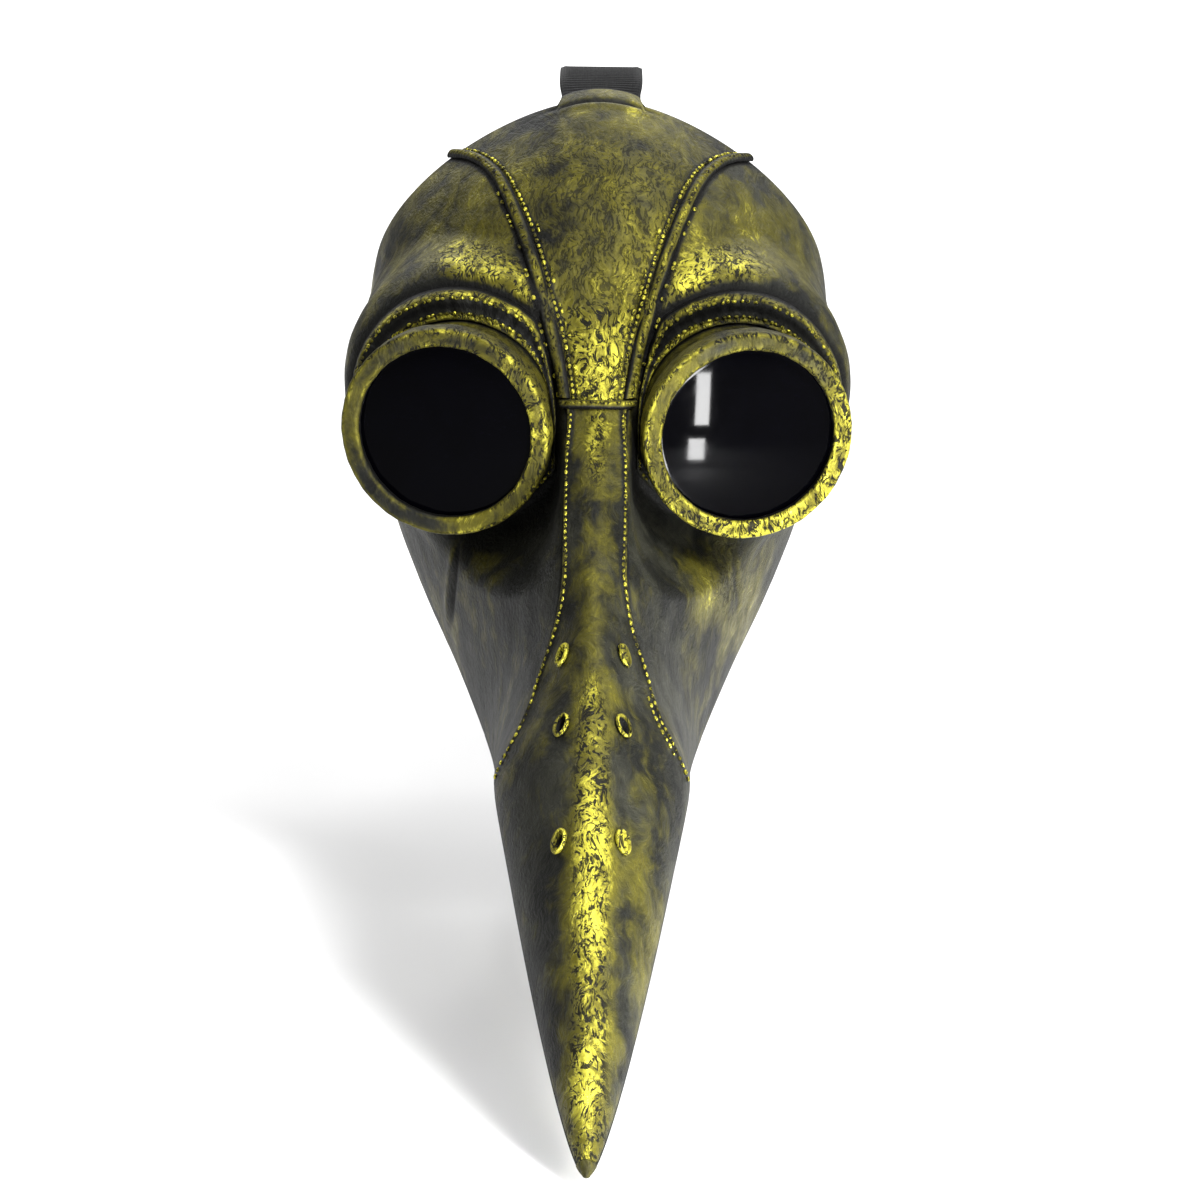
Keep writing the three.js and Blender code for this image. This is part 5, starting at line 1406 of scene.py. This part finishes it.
def station_at_flank_height(height):
    low, high = float(EDGE_STATION), float(CHIN_STATION)
    for _ in range(30):
        middle = (low + high) / 2
        if station_values(np.float64(middle))[3] > height:
            low = middle
        else:
            high = middle
    return low


side_stations = [station_at_flank_height(SIDE_STRAP_HEIGHT - s * STRAP_WIDTH) for s in (-0.5, 0, 0.5)]


def in_from_flank(t, distance):
    u = np.linspace(1, 0, 2000)
    p = skin(np.full(2000, t), u)
    return float(u[np.argmax(np.linalg.norm(p - p[0], axis=-1) > distance)])


side_edge = skin(np.float64(side_stations[1]), 1.0) + skin_normal(np.float64(side_stations[1]), 1.0) * BOND_DEPTH
for label, side in (("left", 1), ("right", -1)):
    deep = in_from_flank(side_stations[1], STRAP_OVERLAP)
    t_row = np.linspace(side_stations[0], side_stations[2], 5)
    start_rows = [np.stack([t_row, np.full(5, u)], -1) for u in np.linspace(deep, 1, 5)]
    bend_start = side_edge[1] + SIDE_STRAIGHT
    depth, half = HEAD_BACK - bend_start, side_edge[0] - PATCH_REACH
    down = np.array([0, 0, -1.0])
    spots = [np.array([side_edge[0], side_edge[1] + s * SIDE_STRAIGHT, SIDE_STRAP_HEIGHT])
             for s in (0, 0.08, 0.17, 0.27, 0.4, 0.6, 0.8)]
    spots += [np.array([PATCH_REACH + half * math.cos(a), bend_start + depth * math.sin(a), SIDE_STRAP_HEIGHT])
              for a in np.linspace(0, math.pi / 2, 14)]
    spots += [np.array([x, HEAD_BACK, SIDE_STRAP_HEIGHT]) for x in (PATCH_REACH / 2, STRAP_MEETING / 2)]
    grid = run_rows(start_rows, [(p, down) for p in spots], STRAP_SETTLE)
    grid[..., 0] *= side
    strap(f"temple_elastic_{label}", grid, [f"side_strap_{label}"])

top_end = SIDE_STRAP_HEIGHT + STRAP_WIDTH / 2 + STRAP_MEETING
patch_top = top_end + PATCH_REACH
eighth = math.sqrt(0.5)
back_span = HEAD_BACK - HEAD_CROWN - eighth * TOP_STRAIGHT
down_span = HEAD_TOP - patch_top - eighth * TOP_STRAIGHT
crown_radius = (eighth * back_span - (1 - eighth) * down_span) / (2 * eighth - 1)
nape_radius = (eighth * down_span - (1 - eighth) * back_span) / (2 * eighth - 1)
reach = float(along_length(np.float64(EDGE_STATION), 0.0, STRAP_OVERLAP))
start_rows = []
for t in np.linspace(EDGE_STATION + reach, TONGUE_END, 7):
    offsets = np.linspace(-0.5, 0.5, 5) * STRAP_WIDTH
    u = np.sign(offsets) * across_to(t, np.abs(offsets))
    start_rows.append(np.stack([np.full(5, t), u], -1))
edge = skin(np.float64(TONGUE_END), 0.0) + skin_normal(np.float64(TONGUE_END), 0.0) * BOND_DEPTH
slope = skin(np.float64(TONGUE_END - 0.01), 0.0) - skin(np.float64(TONGUE_END + 0.01), 0.0)
slope /= np.linalg.norm(slope)
handle = (HEAD_CROWN - edge[1]) / 2
spots = []
for s in (0, 0.15, 0.3, 0.45, 0.6, 0.75, 0.88):
    y = curve_between(edge[1], edge[1] + handle * slope[1], HEAD_CROWN - handle, HEAD_CROWN, s)
    z = curve_between(edge[2], edge[2] + handle * slope[2], HEAD_TOP, HEAD_TOP, s)
    spots.append((0, y, z))
for a in np.linspace(0, math.pi / 4, 7):
    spots.append((0, HEAD_CROWN + crown_radius * math.sin(a), HEAD_TOP - crown_radius * (1 - math.cos(a))))
middle = (HEAD_BACK - nape_radius, patch_top)
turn_start = np.array([0, middle[0] + nape_radius * eighth, middle[1] + nape_radius * eighth])
run_start = np.array(spots[-1])
spots += [tuple(run_start + (turn_start - run_start) * s) for s in (0.25, 0.5, 0.75)]
for a in np.linspace(math.pi / 4, math.pi / 2, 7):
    spots.append((0, middle[0] + nape_radius * math.sin(a), middle[1] + nape_radius * math.cos(a)))
spots += [(0, HEAD_BACK, patch_top + (top_end - patch_top) * s) for s in (0.5, 1)]
sideways = np.array([1.0, 0, 0])
top_grid = run_rows(start_rows, [(np.array(p), sideways) for p in spots], STRAP_SETTLE)
strap("crown_elastic", top_grid, ["top_strap"])

# ---- Anchors and back patches ----
# Pads of the same webbing glued over the strap ends inside the mask, and two T-shaped patches sewn through
# the three strap ends at the back of the head.
PATCH_THICKNESS = 0.0015
PATCH_MARGIN = 0.003
ANCHOR_MARGIN = 0.004
ANCHOR_DEPTH = -SHELL - STRAP_THICKNESS - 2 * BOND


def anchor(name, t, u, *nodes):
    base, normal = skin(t, u), skin_normal(t, u)
    lengths = row_lengths(base)
    down = run_length(base)
    edge = np.minimum(np.minimum(lengths, lengths[:, -1:] - lengths), np.minimum(down, down[-1:] - down))
    rib = 0.0001 * np.sin(2 * math.pi * down / RIB_PITCH) * ramp(edge, 0.0005, 0.002)
    top = base + normal * ANCHOR_DEPTH
    low = base + normal * (ANCHOR_DEPTH - PATCH_THICKNESS - rolled(edge, 0.0006) - rib)[..., None]
    piece = closed_sheet(name, top, low, [ELASTIC], [("along", down), ("across", lengths)])
    mend_normals(piece)
    finished(piece, "elastic", *nodes)


for label, side in (("left", 1), ("right", -1)):
    margin = float(along_length(np.float64(side_stations[1]), 1.0, ANCHOR_MARGIN))
    deep = in_from_flank(side_stations[1], STRAP_OVERLAP + ANCHOR_MARGIN)
    shallow = in_from_flank(side_stations[1], ANCHOR_MARGIN)
    t = np.linspace(side_stations[0] - margin, side_stations[2] + margin, 110)[:, None] + np.zeros((1, 50))
    u = side * (deep + (shallow - deep) * np.linspace(0, 1, 50))[None] + t * 0
    anchor(f"temple_pad_{label}", t, u, f"side_anchor_{label}")
margin = float(along_length(np.float64(EDGE_STATION), 0.0, ANCHOR_MARGIN))
reach = float(along_length(np.float64(EDGE_STATION), 0.0, STRAP_OVERLAP + ANCHOR_MARGIN))
t = np.linspace(EDGE_STATION + margin, EDGE_STATION + reach, 60)[:, None] + np.zeros((1, 90))
offsets = np.linspace(-1, 1, 90)[None] * (STRAP_WIDTH / 2 + ANCHOR_MARGIN) + t * 0
anchor("crown_pad", t, np.sign(offsets) * across_to(t, np.abs(offsets)), "top_anchor")


def patch_outline(inset=0.0):
    half = STRAP_WIDTH / 2 + PATCH_MARGIN - inset
    reach = PATCH_REACH - GAP - inset
    low, shoulder = SIDE_STRAP_HEIGHT - half, SIDE_STRAP_HEIGHT + half
    top = top_end + PATCH_REACH - GAP - inset
    return [(-reach, low), (reach, low), (reach, shoulder), (half, shoulder), (half, top), (-half, top),
            (-half, shoulder), (-reach, shoulder)]


def even_outline(corners, spacing, round_by=0.0):
    """Points round a closed outline, evenly spaced, with its corners eased."""
    points = rounded([(x, y, round_by) for x, y in corners], 6) if round_by else [np.array(c) for c in corners]
    closed = np.array(points + [points[0]])
    run = run_length(closed)
    stops = np.linspace(0, run[-1], max(8, int(run[-1] / spacing)), endpoint=False)
    return np.stack([np.interp(stops, run, closed[:, 0]), np.interp(stops, run, closed[:, 1])], -1)


def back_patch(name, side, cad_name):
    near = HEAD_BACK + side * (STRAP_THICKNESS / 2 + GAP)
    far = near + side * PATCH_THICKNESS
    rings = []
    for inset, depth in ((0, near), (0, near + side * 0.0009), (0.0002, far - side * 0.0003), (0.0006, far)):
        ring = even_outline(patch_outline(inset), 0.0008, 0.0015)
        rings.append((ring, depth))
    count = min(len(r) for r, _ in rings)
    points, faces = [], []
    for ring, depth in rings:
        picks = np.linspace(0, len(ring), count, endpoint=False).astype(int)
        points += [(x, depth, z) for x, z in ring[picks]]
    for i in range(len(rings) - 1):
        for j in range(count):
            k = (j + 1) % count
            faces.append((i * count + j, i * count + k, (i + 1) * count + k, (i + 1) * count + j))
    faces.append(tuple(range(count)))
    faces.append(tuple(range((len(rings) - 1) * count, len(rings) * count)))
    piece = mesh_piece(name, points, faces, [ELASTIC], smooth=False,
                       attributes=[("along", [p[2] for p in points]), ("across", [p[0] for p in points])])
    mend_normals(piece)
    finished(piece, "elastic", cad_name)
    return far


THREAD = woven("black_thread", (0.012, 0.012, 0.013))
for name, side, cad_name in (("nape_patch_outer", 1, "back_patch_outer"),
                             ("nape_patch_inner", -1, "back_patch_inner")):
    far = back_patch(name, side, cad_name)
    line = even_outline(patch_outline(0.0025), 0.0026, 0.001)
    ahead = np.roll(line, -1, 0) - line
    places = [(x, far + side * 0.0001, z) for x, z in line]
    beads(f"{name}_stitches", places, [(0, side, 0)] * len(places), [(x, 0, z) for x, z in ahead],
          (0.0019, 0.0006, 0.0006), THREAD, "elastic", seed=31)

# ---- Sliders ----
# Black moulded tri-glide buckles that take up the straps: two bars over the strap, one bar under it.
def moulded_plastic():
    material, tree, shader, where = new_material("moulded_plastic")
    fine = noise(tree, where, 1400, 2, 0.5)
    worn = spread(tree, noise(tree, where, 120, 5, 0.65), 0.5, 0.72)
    apply_finish(tree, shader, blend_colour(tree, worn, (0.007, 0.007, 0.008), (0.03, 0.03, 0.032)),
           spread(tree, worn, 0, 1, 0.36, 0.55), fine, 0.3, 0.00015)
    return material


PLASTIC = moulded_plastic()
for name in ("slider_left", "slider_right", "slider_top"):
    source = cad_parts[name]
    mesh = source.data.copy()
    mesh.transform(source.matrix_world)
    mesh.materials.clear()
    mesh.materials.append(PLASTIC)
    buckle = bpy.data.objects.new(f"tri_glide_{name[7:]}", mesh)
    bpy.context.collection.objects.link(buckle)
    mend_normals(buckle)
    bevel = buckle.modifiers.new("soft edges", "BEVEL")
    bevel.width = 0.0004
    bevel.segments = 3
    bevel.limit_method = "ANGLE"
    bevel.angle_limit = math.radians(40)
    bpy.context.view_layer.update()
    graph = bpy.context.evaluated_depsgraph_get()
    softened = bpy.data.meshes.new_from_object(buckle.evaluated_get(graph))
    buckle.modifiers.clear()
    buckle.data = softened
    finished(buckle, "buckle", name, body=name)
